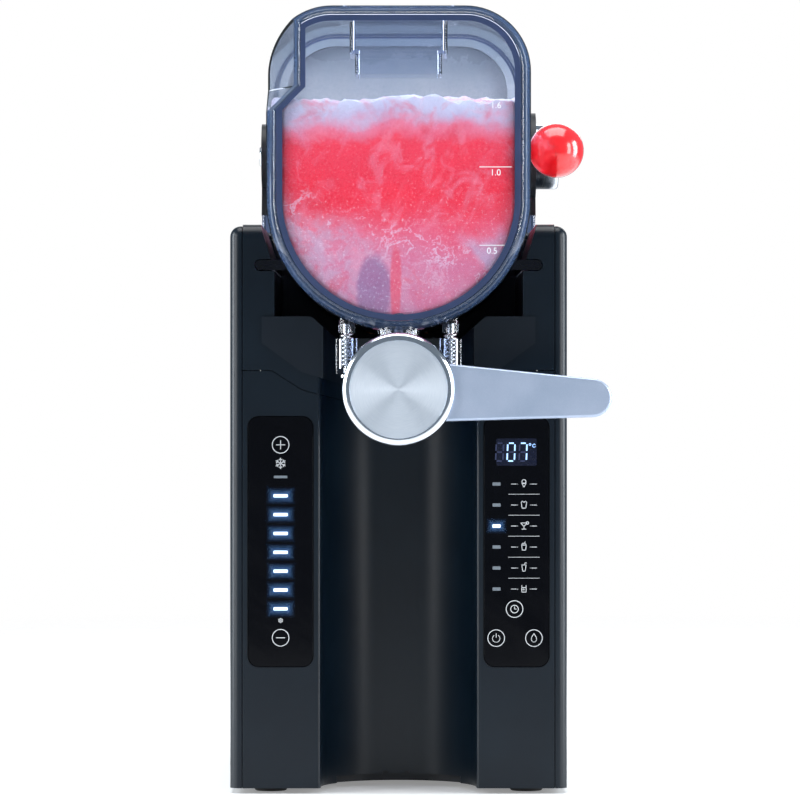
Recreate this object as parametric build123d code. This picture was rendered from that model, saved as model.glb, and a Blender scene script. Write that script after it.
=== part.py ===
from build123d import *
import math
import os

# A tabletop slush machine: a clear vessel slides over a chilled steel drum, a helical auger turns
# round the drum, and a sprung lift valve under the vessel's front end dispenses the slush.
# Millimetres. +X is to the right seen from the front, +Y is to the back, +Z is up.
# The origin is on the table, under the middle of the housing.

# ---- housing
body_width = 186.0
body_depth = 316.0
shoulder_height = 313.0
deck_rise = 1.0
foot_height = 3.0
foot_radius = 9.0
wall = 2.5
side_return = 6.6
shell_corner = 6.0
shoulder_round = 8.0
seam_gap = 0.4
edge_soft = 0.6

# ---- cup channel in the housing's front
channel_radius = 43.0
channel_depth = 50.0
dock_width = 69.0
dock_height = 4.0
dock_tooth = 3.0

# ---- vessel
vessel_radius = 72.5
vessel_wall = 2.7
vessel_headroom = 106.0
vessel_corner = 36.0
vessel_length = 188.0
vessel_overhang = 25.0
axis_rise = 14.0
nose_length = 9.0
nose_step = 4.5
nose_soft = 2.0
fit_gap = 0.5

# ---- grip recess in the vessel's upper left corner
grip_inset = 19.0
grip_drop = 44.0
grip_slope_run = 46.0

# ---- rails and ears that guide the vessel
rail_overhang = 6.5
rail_thickness = 5.5
rail_drop = vessel_radius / 2 - 0.55
rail_front_gap = 2.0
rail_length = 130.0
ear_overhang = 7.1
ear_thickness = 10.0
ear_front_length = 26.0
ear_back_length = 20.0
slide_gap = 0.5

# ---- trough that the vessel lies in, seen from the front
trough_mouth_half = vessel_radius + 3.5
trough_half = vessel_radius - 4.0
trough_step_drop = 25.0
trough_ledge_half = vessel_radius - 24.5
trough_floor_half = vessel_radius - 42.5
trough_floor_drop = vessel_radius - axis_rise + 7.5
trough_ledge_drop = trough_floor_drop - 16.0

# ---- seams of the front, seen from the front
seam_outer_drop = trough_floor_drop + 14.0
seam_outer_half = vessel_radius - 2.5
seam_slope_drop = trough_floor_drop + 24.5
seam_slope_half = trough_ledge_half + 5.4
seam_centre_drop = trough_floor_drop + 31.0
surround_half = vessel_radius + 2.9
surround_bottom_drop = trough_ledge_drop + 14.6
surround_slope_drop = trough_floor_drop + 14.6
surround_centre_drop = trough_floor_drop + 21.7
surround_proud = 1.5

# ---- control panels
panel_lip_gap = 4.0
panel_seam_gap = 3.4
panel_height = 138.0
panel_corner = 6.0
panel_top_drop = seam_centre_drop + 8.0
panel_thickness = 1.2
guide_width = 7.6
guide_height = 1.6
guide_count = 8
guide_pitch = 10.38
guide_first_drop = 33.4
mode_count = 6
mode_pitch = 11.57
mode_first_drop = 37.3
mode_offset = -11.0
mode_width = 4.4
display_width = 22.0
display_height = 14.4
display_drop = 19.7
board_stand_off = 5.0
board_thickness = 1.6
board_margin = 3.0

# ---- drum, auger and drive
drum_radius = 40.0
drum_length = 131.0
drum_wall = 1.2
drum_dome = 6.0
core_radius = 9.5
auger_gap = 1.9
auger_reach = 15.0
auger_pitch = 62.0
auger_turns = 1.95
auger_thickness = 3.0
auger_bar_count = 3
auger_bar_width = 9.0
auger_bar_depth = 5.0
auger_hub_radius = 13.0
auger_hub_length = 15.0
auger_arm_width = 10.0
shaft_radius = 6.0
shaft_running_gap = 0.05
shaft_square = 8.0
square_gap = 0.15
plate_thickness = 3.0
plug_depth = 8.0
gasket_squeeze_gap = 0.3
gasket_depth = 2.6
gearbox_radius = 38.0
gearbox_length = 34.0
gearbox_gap = 16.0
motor_radius = 27.0
motor_length = 62.0
gearbox_screw_circle = gearbox_radius - 7.0

# ---- filler well and lid
well_length = 34.0
well_width = 50.0
well_depth = 25.0
throat_depth = 36.0
throat_step = 3.0
well_wall = 2.0
well_front_gap = 30.0
lid_margin = 6.0
lid_thickness = 2.8
lid_gap = 0.3
lid_pin_radius = 0.9
lid_pin_gap = 0.05
lid_swing_gap = 1.2

# ---- lift valve
spout_bore = 10.0
spout_setback = spout_bore + 7.0
spout_wall = 3.0
spout_length = 57.0
seat_width = 4.0
seat_rise = 5.0
poppet_lip = 3.0
poppet_thickness = 5.0
seal_thickness = 1.5
stem_radius = 2.5
valve_lift = 6.0
valve_pin_radius = 1.5
valve_pin_rise = 9.0
slot_gap = 0.3
post_offset = spout_bore + spout_wall + 15.5
post_radius = 1.6
post_boss_radius = 4.4
post_boss_drop = vessel_radius + 0.7
sleeve_half = 6.0
sleeve_depth = 13.0
sleeve_height = 19.0
sleeve_floor = 3.0
sleeve_bore = 4.9
sleeve_top_drop = vessel_radius + 4.1
spring_wire = 0.7
spring_radius = 3.2
spring_turns = 8

# ---- handle
handle_drop = vessel_radius + 31.8
handle_turn = 60.0
handle_shaft_radius = 4.0
boss_radius = 7.0
boss_length = 7.0
cam_thickness = 4.0
cam_base = 7.5
cam_gap = 0.15
bezel_radius = 30.8
bezel_depth = 12.0
bezel_round = 3.6
face_radius = 26.7
face_thickness = 2.0
face_recess = 0.8
arm_reach = 115.6
arm_root_half = 17.3
arm_root_drop = 0.7
arm_tip_half = 10.5
arm_tip_drop = 4.6
arm_thickness = 7.0
arm_soft = 1.6

# ---- lock lever
lock_rise = 34.0
lock_setback = 15.0
lock_shaft_radius = 4.0
lock_cam_radius = 25.7
lock_left_cam_radius = 19.2
lock_cam_thickness = 3.4
lock_cam_overhang = 1.2
lock_nose_half_angle = 16.0
lock_nose_gap = 0.3
lock_hub_radius = 19.2
lock_hub_length = 13.4
lock_cap_radius = 6.0
lock_cap_length = 1.4
lock_arm_radius = 4.0
lock_arm_length = 65.0
lock_arm_overhang = 11.4
ball_radius = 15.8

# ---- tower
tower_half = vessel_radius - 3.5
tower_headroom = vessel_headroom - 3.0
tower_corner = vessel_corner - 2.0
tower_back_round = 10.0

# ---- cooling system
compressor_radius = 50.0
compressor_height = 118.0
compressor_round = 26.0
compressor_back = 100.0
grommet_height = 12.0
condenser_width = body_width - 36.0
condenser_height = 150.0
condenser_depth = 28.0
fin_count = 38
fin_thickness = 0.5
coil_tube_radius = 3.0
coil_rows = 8
coil_columns = 2
fan_size = 120.0
fan_depth = 25.0
fan_bore = 56.0
fan_blade_reach = 54.0
fan_hub_radius = 20.0
fan_blades = 7
fan_strut_count = 4
drier_radius = 10.0
drier_length = 80.0
pipe_radius = 3.0
capillary_radius = 1.2

# ---- power inlet: the 24.5 x 17 cavity and the pins of a standard three-pin appliance inlet
inlet_cavity_width = 24.5
inlet_cavity_height = 17.0
inlet_cavity_depth = 17.0
inlet_wall = 2.0
inlet_flange_width = 48.0
inlet_flange_height = 23.0
inlet_pin_width = 2.0
inlet_pin_height = 4.0
inlet_pin_recess = 5.0
inlet_x = 55.0
inlet_z = 36.0

screw_radius = 1.6
screw_head_radius = 3.2
screw_head_height = 2.0
screw_length = 8.0

# ---- places worked out from the sizes above
front = -body_depth / 2
back = body_depth / 2
half = body_width / 2
seam_x = half - side_return
centre_half = seam_x - seam_gap
deck_z = shoulder_height + deck_rise
axis_z = shoulder_height + axis_rise
panel_width = seam_x - channel_radius - panel_lip_gap - panel_seam_gap
panel_centre = channel_radius + panel_lip_gap + panel_width / 2
rail_reach = vessel_radius + rail_overhang
ear_reach = vessel_radius + ear_overhang
auger_radius = drum_radius + auger_reach
lock_arm_offset = ear_reach + lock_arm_overhang
vessel_front = front - vessel_overhang
vessel_rear = vessel_front + vessel_length
vessel_inner = vessel_radius - vessel_wall
vessel_top = axis_z + vessel_headroom
ceiling_z = vessel_top - vessel_wall
plate_y = vessel_rear + fit_gap
tower_front = plate_y + plate_thickness
trough_floor_z = shoulder_height - trough_floor_drop
panel_top_z = shoulder_height - panel_top_drop
panel_centre_z = panel_top_z - panel_height / 2
spout_y = vessel_front + spout_setback
spout_top_z = axis_z - vessel_radius
spout_end_z = spout_top_z - spout_length
seat_z = axis_z - vessel_inner + seat_rise
handle_z = axis_z - handle_drop
sleeve_top_z = axis_z - sleeve_top_drop
post_boss_z = axis_z - post_boss_drop
sleeve_front_y = spout_y - sleeve_depth / 2
valve_pin_z = spout_end_z + valve_pin_rise
boss_front_y = spout_y - spout_bore - spout_wall - boss_length
cam_back_y = boss_front_y - fit_gap
cam_front_y = cam_back_y - cam_thickness
bezel_back_y = cam_front_y - fit_gap
bezel_front_y = bezel_back_y - bezel_depth
cam_rate = valve_lift / math.radians(handle_turn)
follower_z = handle_z + cam_base + cam_gap
lock_y = vessel_rear + lock_setback
lock_z = axis_z + lock_rise
ear_z = deck_z + slide_gap
ear_top_z = ear_z + ear_thickness
lock_cam_x = ear_reach + lock_cam_overhang - lock_cam_thickness
gearbox_y = tower_front + gearbox_gap
motor_y = gearbox_y + gearbox_length
drum_front_y = plate_y - drum_length
shaft_front_y = drum_front_y - drum_dome - auger_hub_length
condenser_back_y = back - wall - 2 * fan_depth
fan_y = condenser_back_y + 4.0
condenser_y = condenser_back_y - condenser_depth
well_y = vessel_front + well_front_gap
lid_pin_z = vessel_top - lid_thickness / 2


def block(x0, x1, y0, y1, z0, z1):
    # a box from its low corner to its high corner
    return Pos((x0 + x1) / 2, (y0 + y1) / 2, (z0 + z1) / 2) * Box(x1 - x0, y1 - y0, z1 - z0)


def rod(start, end, radius):
    # a round bar between two points
    a, b = Vector(start), Vector(end)
    plane = Plane(origin=a, z_dir=(b - a).normalized())
    return plane * Cylinder(radius, (b - a).length, align=(Align.CENTER, Align.CENTER, Align.MIN))


def ring(start, end, outer, inner):
    # a round tube between two points
    return rod(start, end, outer) - rod(start, end, inner)


def front_plane(y):
    # a drawing plane seen from the front: its x is X, and its y is Z
    return Plane(origin=(0, y, 0), x_dir=(1, 0, 0), z_dir=(0, -1, 0))


def from_front(sketch, y0, y1):
    # a shape drawn as seen from the front, from y0 back to y1
    return extrude(front_plane(y1) * sketch, amount=y1 - y0)


def polygon_from_front(points, y0, y1):
    return from_front(make_face(Polyline(*points, close=True)), y0, y1)


def mirrored(points):
    # the outline's right half, given from the outside to the middle, and its mirror image
    return [(x, z) for x, z in points] + [(-x, z) for x, z in reversed(points) if abs(x) > 1e-6]


def both_sides(shape):
    return [shape, mirror(shape, about=Plane.YZ)]


def save(name, *shapes):
    solids = [s for shape in shapes for s in shape.solids()]
    export_step(Compound(children=solids) if len(solids) > 1 else solids[0], f"parts/{name}.step")
    for s in solids:
        if not s.is_valid or s.volume <= 0:
            print("not a good solid:", name)


def lozenge(radius, headroom, corner):
    # the vessel's outline seen from the front: a half circle below, straight sides, two round corners
    outline = Circle(radius) + Pos(0, headroom / 2) * Rectangle(2 * radius, headroom)
    outline = fillet(outline.vertices().group_by(Axis.Y)[-1], corner)
    return Pos(0, axis_z) * outline


def inset_lozenge(inset):
    return lozenge(vessel_radius - inset, vessel_headroom - inset, vessel_corner - inset)


def channel(radius, z0, z1):
    # the upright round column that the cup channel is cut with
    centre_y = front + channel_depth - channel_radius
    column = rod((0, centre_y, z0), (0, centre_y, z1), radius)
    return column + block(-radius, radius, front - 20, centre_y, z0, z1)


def seam_profile(rise=0.0):
    # the area below the seam between the fascia and the upper front
    z = shoulder_height + rise
    points = [
        (half, foot_height - 1),
        (half, z - seam_outer_drop),
        (seam_outer_half, z - seam_outer_drop),
        (seam_slope_half, z - seam_slope_drop),
        (trough_floor_half, z - seam_centre_drop),
    ]
    return mirrored(points)


def trough_outline(grow):
    # the trough's section: flared mouth, upright walls, a ledge, a slope and a floor
    z = shoulder_height
    return mirrored(
        [
            (trough_mouth_half + grow, deck_z + 5),
            (trough_mouth_half + grow, z),
            (trough_half + grow, z - trough_step_drop),
            (trough_half + grow, z - trough_ledge_drop - grow),
            (trough_ledge_half + grow * 0.3, z - trough_ledge_drop - grow),
            (trough_floor_half + grow * 0.3, trough_floor_z - grow),
        ]
    )


# ---------------------------------------------------------------- housing


def base_pan():
    inset = wall + seam_gap
    z0, z1 = foot_height, foot_height + wall
    outer = block(-half + inset, half - inset, front + inset, back - inset, z0, z1 + 9)
    inner = block(-half + inset + 2, half - inset - 2, front + inset + 2, back - inset - 2, z1, z1 + 10)
    outer = fillet(outer.edges().filter_by(Axis.Z), shell_corner - wall)
    pan = outer - channel(channel_radius + inset, z0 - 1, z1 + 10)
    pan -= inner - channel(channel_radius + inset + 2, z0 - 1, z1 + 11)
    for x, y in foot_places():
        pan -= Pos(x, y, z0) * Cylinder(2.1, 20)
    for x, z in rear_screw_places():
        pan -= rod((x, back - 12, z), (x, back, z), screw_radius + 0.2)
    return pan


def foot_places():
    x, y0, y1 = half - 22, front + 24, back - 24
    return [(-x, y0), (x, y0), (-x, y1), (x, y1)]


def rubber_feet():
    feet = []
    for x, y in foot_places():
        foot = rod((x, y, 0), (x, y, foot_height), foot_radius)
        foot = chamfer(foot.edges().group_by(Axis.Z)[0], 0.6)
        stem = rod((x, y, foot_height - 0.5), (x, y, foot_height + wall + 1.2), 2.0)
        barb = rod((x, y, foot_height + wall), (x, y, foot_height + wall + 1.2), 3.0)
        feet.append(foot + stem + barb)
    return feet


def right_side_shell():
    z0, z1 = foot_height, shoulder_height
    shell = block(seam_x, half, front, back, z0, z1)
    outer_edges = [e for e in shell.edges() if e.center().X > half - 0.01]
    outer_edges = [e for e in outer_edges if e.center().Z > z0 + 0.01]
    top_corners = [
        e
        for e in shell.edges()
        if e.center().Z > z1 - 0.01 and abs(e.center().Y) > abs(front) - 0.01 and e.length < side_return + 1
    ]
    shell = fillet(outer_edges + top_corners, shell_corner)
    hollow = block(seam_x - 1, half - wall, front + wall, back - wall, z0 - 1, z1 - wall)
    inner_edges = [e for e in hollow.edges() if e.center().X > half - wall - 0.01 and e.center().Z > z0]
    hollow = fillet(inner_edges, shell_corner - wall)
    return shell - hollow


def wall_plan(z0, z1):
    # the front wall's plan: flat cheeks with the cup channel let in between them
    flat = block(-centre_half, centre_half, front, front + wall, z0, z1)
    column = channel(channel_radius + wall, z0, z1) & block(-half, half, front, back, z0, z1)
    return (flat + column) - channel(channel_radius, z0 - 1, z1 + 1)


def soften_lips(shape):
    # rounds the two upright edges where the cup channel leaves the flat front
    lips = [
        e
        for e in shape.edges().filter_by(Axis.Z)
        if abs(abs(e.center().X) - channel_radius) < 0.01 and e.center().Y < front + 0.01
    ]
    return fillet(lips, 1.8)


def front_fascia():
    top = shoulder_height - seam_outer_drop
    shape = soften_lips(wall_plan(foot_height, top + 1))
    shape &= polygon_from_front(seam_profile(), front - 5, front + channel_depth + 10)
    for x in (-panel_centre, panel_centre):
        pocket = Pos(x, panel_centre_z) * RectangleRounded(
            panel_width + 2 * seam_gap, panel_height + 2 * seam_gap, panel_corner + seam_gap
        )
        shape -= from_front(pocket, front - 1, front + panel_thickness + 0.1)
    for x, z, w, h in light_windows():
        shape -= from_front(Pos(x, z) * Rectangle(w + 0.6, h + 0.6), front - 1, front + wall + 1)
    dock_half, dock_back = dock_width / 2, front + channel_depth + 9
    shape -= block(-dock_half, dock_half, front - 1, dock_back, 0, foot_height + dock_height)
    for x in (-3 * dock_tooth, dock_tooth):
        shape -= block(x, x + dock_tooth, front, dock_back, foot_height, foot_height + dock_height + 1.5)
    return shape


def light_windows():
    # centre and size of each lit mark: the level bars on the left, the mode lights and display on the right
    bars = [
        (-panel_centre, panel_top_z - guide_first_drop - i * guide_pitch, guide_width, guide_height)
        for i in range(guide_count)
    ]
    modes = [
        (panel_centre + mode_offset, panel_top_z - mode_first_drop - i * mode_pitch, mode_width, guide_height)
        for i in range(mode_count)
    ]
    return bars + modes + [(panel_centre, panel_top_z - display_drop, display_width, display_height)]


def top_front_edge(box):
    return box.edges().filter_by(Axis.X).group_by(Axis.Z)[-1].sort_by(Axis.Y)[0]


def upper_front():
    # the cheeks beside the vessel, with a rounded top edge and the trough's first stretch
    bottom, top = shoulder_height - seam_centre_drop - 1, deck_z
    y1 = front + 2 * shoulder_round
    outer = block(-centre_half, centre_half, front, y1, bottom, top)
    outer = fillet(top_front_edge(outer), shoulder_round)
    inner = block(-centre_half - 1, centre_half + 1, front + wall, y1 + 1, bottom - 1, top - wall)
    inner = fillet(top_front_edge(inner), shoulder_round - wall)
    inner -= trough_solid(front, y1 + 2, top)
    column = channel(channel_radius + wall, bottom, top) & block(-half, half, front, back, bottom, top)
    shape = (outer - inner + column) - channel(channel_radius, bottom - 1, top + 1)
    shape = soften_lips(shape)
    shape -= trough_void(front - 5, front + channel_depth + 10)
    return shape - polygon_from_front(seam_profile(seam_gap), front - 5, front + channel_depth + 10)


def trough_solid(y0, y1, top):
    # the trough's walls and rail grooves as a filled block, before the trough itself is cut
    z = axis_z - rail_drop
    groove_half = rail_thickness / 2 + slide_gap + wall
    reach = rail_reach + slide_gap + wall
    solid = polygon_from_front(trough_outline(wall), y0, y1) & block(-half, half, y0, y1, 0, top)
    for side in both_sides(block(trough_floor_half, reach, y0, y1, z - groove_half, z + groove_half)):
        solid += side
    return solid


def trough_void(y0, y1):
    return polygon_from_front(trough_outline(0), y0, y1) + rail_slot(y0, y1)


def rail_slot(y0, y1):
    # clearance for the vessel's two side rails
    z = axis_z - rail_drop
    h = rail_thickness + 2 * slide_gap
    outline = Pos(0, z) * SlotOverall(2 * (rail_reach + slide_gap), h)
    return from_front(outline, y0, y1)


def tap_surround():
    z = shoulder_height
    outline = mirrored(
        [
            (surround_half, z - trough_ledge_drop),
            (surround_half, z - surround_bottom_drop),
            (seam_slope_half, z - surround_slope_drop),
            (trough_floor_half, z - surround_centre_drop),
        ]
    )
    area = polygon_from_front(outline, front - 5, front + channel_depth + 10)
    area -= polygon_from_front(trough_outline(0), front - 6, front + channel_depth + 11)
    z0, z1 = z - surround_centre_drop - 1, z - trough_ledge_drop
    flat = block(-centre_half, centre_half, front - surround_proud, front, z0, z1)
    column = channel(channel_radius, z0, z1) & block(-half, half, front - surround_proud, back, z0, z1)
    skin = flat + column - channel(channel_radius - surround_proud, z0 - 1, z1 + 1)
    return skin & area


def cradle():
    # the trough's liner, from the upper front to an end wall that surrounds the face plate
    y0, y1 = front + 2 * shoulder_round + seam_gap, plate_y - seam_gap
    liner = trough_solid(y0, y1 + wall, deck_z - wall - seam_gap)
    liner -= trough_void(y0 - 1, y1)
    liner -= from_front(lozenge(vessel_radius + fit_gap, vessel_headroom, vessel_corner), y0, y1 + wall + 1)
    return liner - channel(channel_radius + wall + seam_gap, trough_floor_z - 20, trough_floor_z + 40)


def top_deck():
    y0, y1 = front + 2 * shoulder_round + seam_gap, back - wall - seam_gap
    z0 = deck_z - wall
    deck = block(-centre_half, centre_half, y0, y1, z0, deck_z)
    deck -= block(-trough_mouth_half, trough_mouth_half, y0 - 1, tower_front + seam_gap, z0 - 1, deck_z + 1)
    opening = tower_half - 14
    deck -= block(-opening, opening, tower_front + 6, back - 22, z0 - 1, deck_z + 1)
    return deck


def tower_outline(inset):
    width = 2 * (tower_half - inset)
    height = axis_z + tower_headroom - inset - deck_z
    outline = Pos(0, deck_z + height / 2) * Rectangle(width, height)
    return fillet(outline.vertices().group_by(Axis.Y)[-1], tower_corner - inset)


def back_edges(shape, y):
    # the edges round the tower's back, but not the one on the deck
    return [e for e in shape.edges() if e.center().Y > y - 0.01 and e.center().Z > deck_z + 0.5]


def tower_shell():
    y0, y1 = tower_front + seam_gap, back - wall
    shell = from_front(tower_outline(0), y0, y1)
    shell = fillet(back_edges(shell, y1), tower_back_round)
    hollow = from_front(tower_outline(wall), y0 - 1, y1 - wall)
    shell -= fillet(back_edges(hollow, y1 - wall), tower_back_round - wall)
    shell -= rod((-half, lock_y, lock_z), (half, lock_y, lock_z), bush_radius() + 0.05)
    return shell


def bush_radius():
    return lock_shaft_radius + 2.5


def face_plate():
    y0, y1 = plate_y, tower_front
    plate = from_front(lozenge(vessel_radius, tower_headroom, vessel_corner), y0, y1)
    plug_inset = vessel_wall + gasket_squeeze_gap + gasket_depth
    plate += from_front(inset_lozenge(plug_inset), y0 - plug_depth, y0)
    plate += from_front(inset_lozenge(vessel_wall + 1.4), y0 - plug_depth, y0 - plug_depth + 1.6)
    plate -= from_front(inset_lozenge(plug_inset + 3), y0 - plug_depth - 1, y0 - 1.5)
    plate -= rod((0, y0 - 20, axis_z), (0, y1 + 1, axis_z), core_radius + 0.05)
    for x, z in pipe_ports():
        plate -= rod((x, y0 - 20, z), (x, y1 + 1, z), pipe_radius + 0.3)
    for x, z in drum_screws():
        plate -= rod((x, y0 - 5, z), (x, y1 + 1, z), screw_radius + 0.1)
    return plate


def pipe_ports():
    # where the coil's two ends pass through the face plate
    r = drum_radius - drum_wall - coil_tube_radius - 3
    return [(-r * 0.5, axis_z - r * 0.75), (r * 0.5, axis_z - r * 0.75)]


def drum_screws():
    reach = (drum_radius + 4.5) * math.sqrt(0.5)
    return [(sx * reach, axis_z + sz * reach) for sx, sz in ((1, 1), (-1, 1), (-1, -1), (1, -1))]


def vessel_gasket():
    y0, y1 = plate_y - plug_depth + 1.6, plate_y - 0.6
    outer = vessel_wall + gasket_squeeze_gap
    seal = from_front(inset_lozenge(outer), y0, y1)
    seal -= from_front(inset_lozenge(outer + gasket_depth), y0 - 1, y1 + 1)
    for y in (y0 + 1.6, y0 + 4.0):
        groove = from_front(inset_lozenge(outer - 1), y, y + 0.9)
        seal -= groove - from_front(inset_lozenge(outer + 0.9), y - 1, y + 2)
    return seal


def rear_cover():
    y0, y1 = back - wall, back
    cover = block(-centre_half, centre_half, y0, y1, foot_height, shoulder_height)
    cover = chamfer([e for e in cover.edges() if e.center().Y > y1 - 0.01], edge_soft)
    slot_height, slot_pitch, slot_half = 3.2, 7.0, 58.0
    for i in range(19):
        z = fan_centre_z() - 9 * slot_pitch + i * slot_pitch
        reach = math.sqrt(max(0.0, (fan_bore + 10) ** 2 - (z - fan_centre_z()) ** 2))
        if reach > 20:
            slot = Pos(0, z) * SlotOverall(2 * min(reach, slot_half), slot_height)
            cover -= from_front(slot, y0 - 1, y1 + 1)
    opening = Pos(inlet_x, inlet_z) * Rectangle(
        inlet_cavity_width + 2 * inlet_wall + 0.2, inlet_cavity_height + 2 * inlet_wall + 0.2
    )
    cover -= from_front(opening, y0 - 1, y1 + 1)
    for x, z in rear_screw_places() + inlet_screw_places():
        cover -= rod((x, y0 - 1, z), (x, y1 + 1, z), screw_radius + 0.2)
    return cover


def rear_screw_places():
    x = centre_half - 7
    heights = (foot_height + 10, shoulder_height / 2, shoulder_height - 12)
    return [(sx * x, z) for sx in (-1, 1) for z in heights]


def inlet_screw_places():
    return [(inlet_x - 20, inlet_z), (inlet_x + 20, inlet_z)]


def fan_centre_z():
    return foot_height + wall + 12 + fan_size / 2 + 40


def screw(x, y, z, direction):
    # a pan-head screw whose head rests at (x, y, z) and whose shank points along direction
    d = Vector(direction)
    at = Vector(x, y, z)
    head = rod(at - d * screw_head_height, at, screw_head_radius)
    head = fillet(head.edges().sort_by(Axis((x, y, z), direction))[0], 0.9)
    shank = rod(at - d * 0.1, at + d * screw_length, screw_radius)
    slot = Plane(origin=at - d * screw_head_height, z_dir=d) * (Box(0.8, 3.4, 1.6) + Box(3.4, 0.8, 1.6))
    return head + shank - slot


def rear_cover_screws():
    return [screw(x, back, z, (0, -1, 0)) for x, z in rear_screw_places()]


# ---------------------------------------------------------------- control panels


def control_glass(x):
    sketch = Pos(x, panel_centre_z) * RectangleRounded(panel_width, panel_height, panel_corner)
    glass = from_front(sketch, front, front + panel_thickness)
    return chamfer([e for e in glass.edges() if e.center().Y < front + 0.01], 0.3)


def light_guides(windows):
    y0, y1 = front + panel_thickness + 0.1, front + board_stand_off
    return [block(x - w / 2, x + w / 2, y0, y1, z - h / 2, z + h / 2) for x, z, w, h in windows]


def panel_board(x):
    y = front + board_stand_off
    board = block(
        x - panel_width / 2 + board_margin,
        x + panel_width / 2 - board_margin,
        y,
        y + board_thickness,
        panel_centre_z - panel_height / 2 + board_margin,
        panel_centre_z + panel_height / 2 - board_margin,
    )
    for dx, dz in ((-1, -1), (1, -1), (-1, 1), (1, 1)):
        px = x + dx * (panel_width / 2 - board_margin - 3)
        pz = panel_centre_z + dz * (panel_height / 2 - board_margin - 4)
        board += rod((px, front + wall, pz), (px, y + 0.5, pz), 1.8)
    y1 = y + board_thickness
    board += block(x - 6, x + 6, y1, y1 + 2, panel_centre_z - 20, panel_centre_z - 8)
    board += block(x - 9, x + 9, y1, y1 + 5, panel_centre_z - 52, panel_centre_z - 44)
    return board


# ---------------------------------------------------------------- vessel


def grip_tool(shift):
    # an oblique block that carves the grip recess; shift moves its faces in for the inner wall
    z1 = vessel_top + 30
    x = -vessel_radius + grip_inset + shift
    z = vessel_top - grip_drop - shift
    slope = vessel_radius
    points = [(x - slope, z1), (x, z1), (x, z), (x - slope, z - slope)]
    face = make_face(Polyline(*points, close=True))
    y0 = vessel_front - 2
    run = grip_slope_run
    start = front_plane(y0) * face
    oblique = Vector(-grip_inset, run, 0)
    return extrude(start, amount=2.2 * oblique.length, dir=oblique.normalized())


def vessel_body(inset):
    # the closed outline of the vessel's outside (inset 0) or of its hollow (inset = the wall)
    y1 = vessel_rear if inset == 0 else vessel_rear + 1
    shape = from_front(inset_lozenge(inset), vessel_front + inset, y1)
    front_face = shape.faces().sort_by(Axis.Y)[0]
    shape = chamfer(front_face.edges(), nose_step, nose_length, reference=front_face)
    return shape


def vessel():
    outer = vessel_body(0) - grip_tool(0)
    outer = fillet(outer.faces().sort_by(Axis.Y)[0].edges(), nose_soft)
    hollow = vessel_body(vessel_wall) - grip_tool(vessel_wall)
    body = outer
    body += spout_outside()
    body += lid_tray_outside()
    body -= hollow
    body += chute()
    body += seat()
    for side in both_sides(rail()):
        body += side
    for side in both_sides(ear()):
        body += side
    body -= spout_inside()
    body -= lid_tray_inside()
    return body


def round_body(inset):
    # the vessel's outline drawn in at the sides and the bottom only
    return lozenge(vessel_radius - inset, vessel_headroom, vessel_corner)


def rail():
    # one of the two side rails, with a round outer edge
    z = axis_z - rail_drop
    y0 = front - rail_front_gap
    outline = Pos(0, z) * SlotOverall(2 * rail_reach, rail_thickness)
    bar = from_front(outline, y0, y0 + rail_length)
    keep = block(0, rail_reach + 1, y0 - 1, y0 + rail_length + 1, z - 10, z + 10)
    return (bar & keep) - from_front(round_body(1.2), y0 - 1, y0 + rail_length + 1)


def ear():
    # a lug beside the vessel's open end, which runs back over the deck under the lock cam
    y0, y1 = vessel_rear - ear_front_length, vessel_rear + ear_back_length
    lug = block(vessel_radius + slide_gap, ear_reach, y0, y1, ear_z, ear_top_z)
    lug += block(vessel_radius - 3.5, ear_reach, y0, vessel_rear, ear_z, ear_top_z)
    lug = fillet(lug.edges().filter_by(Axis.Z).group_by(Axis.X)[-1], 2.0)
    return lug - from_front(round_body(vessel_wall - 0.5), y0 - 1, vessel_rear)


def well_box(grow, z0, z1):
    x = well_width / 2 + grow
    return block(-x, x, well_y - grow, well_y + well_length + grow, z0, z1)


def upright_soft(box, radius):
    return fillet(box.edges().filter_by(Axis.Z), radius)


def lid_tray_outside():
    box = well_box(lid_margin + well_wall, ceiling_z - lid_thickness - 0.5, vessel_top - 1)
    return upright_soft(box, 4.0)


def chute():
    # the filler chute's walls: a wide mouth over a narrower throat
    mouth = well_box(well_wall, vessel_top - well_depth, vessel_top - lid_thickness - 1)
    throat = well_box(well_wall - throat_step, vessel_top - throat_depth, vessel_top - well_depth + 1)
    return upright_soft(mouth, 3.0) + upright_soft(throat, 2.5) + lid_tray_outside()


def lid_tray_inside():
    floor_z = vessel_top - lid_thickness - lid_gap
    pocket = well_box(lid_margin, floor_z, vessel_top + 5)
    pocket = fillet(pocket.edges().filter_by(Axis.Z).group_by(Axis.Y)[0], 3.0)
    mouth = upright_soft(well_box(0, vessel_top - well_depth + well_wall, vessel_top + 5), 1.5)
    throat = upright_soft(well_box(-throat_step, vessel_top - throat_depth - 5, vessel_top), 1.0)
    y = well_y - lid_margin
    notch = rod((0, y, vessel_top + 3), (0, y - 9, vessel_top + 3), 9.0)
    notch &= block(-20, 20, y - 8, y + 1, floor_z, vessel_top + 20)
    return pocket + mouth + throat + notch + lid_pin(lid_pin_gap)


def lid_pin_y():
    return well_y + well_length + lid_margin - lid_swing_gap - lid_thickness / 2


def lid_pin(grow=0.0):
    x = well_width / 2 + lid_margin + well_wall - 0.8
    return rod((-x, lid_pin_y(), lid_pin_z), (x, lid_pin_y(), lid_pin_z), lid_pin_radius + grow)


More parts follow.
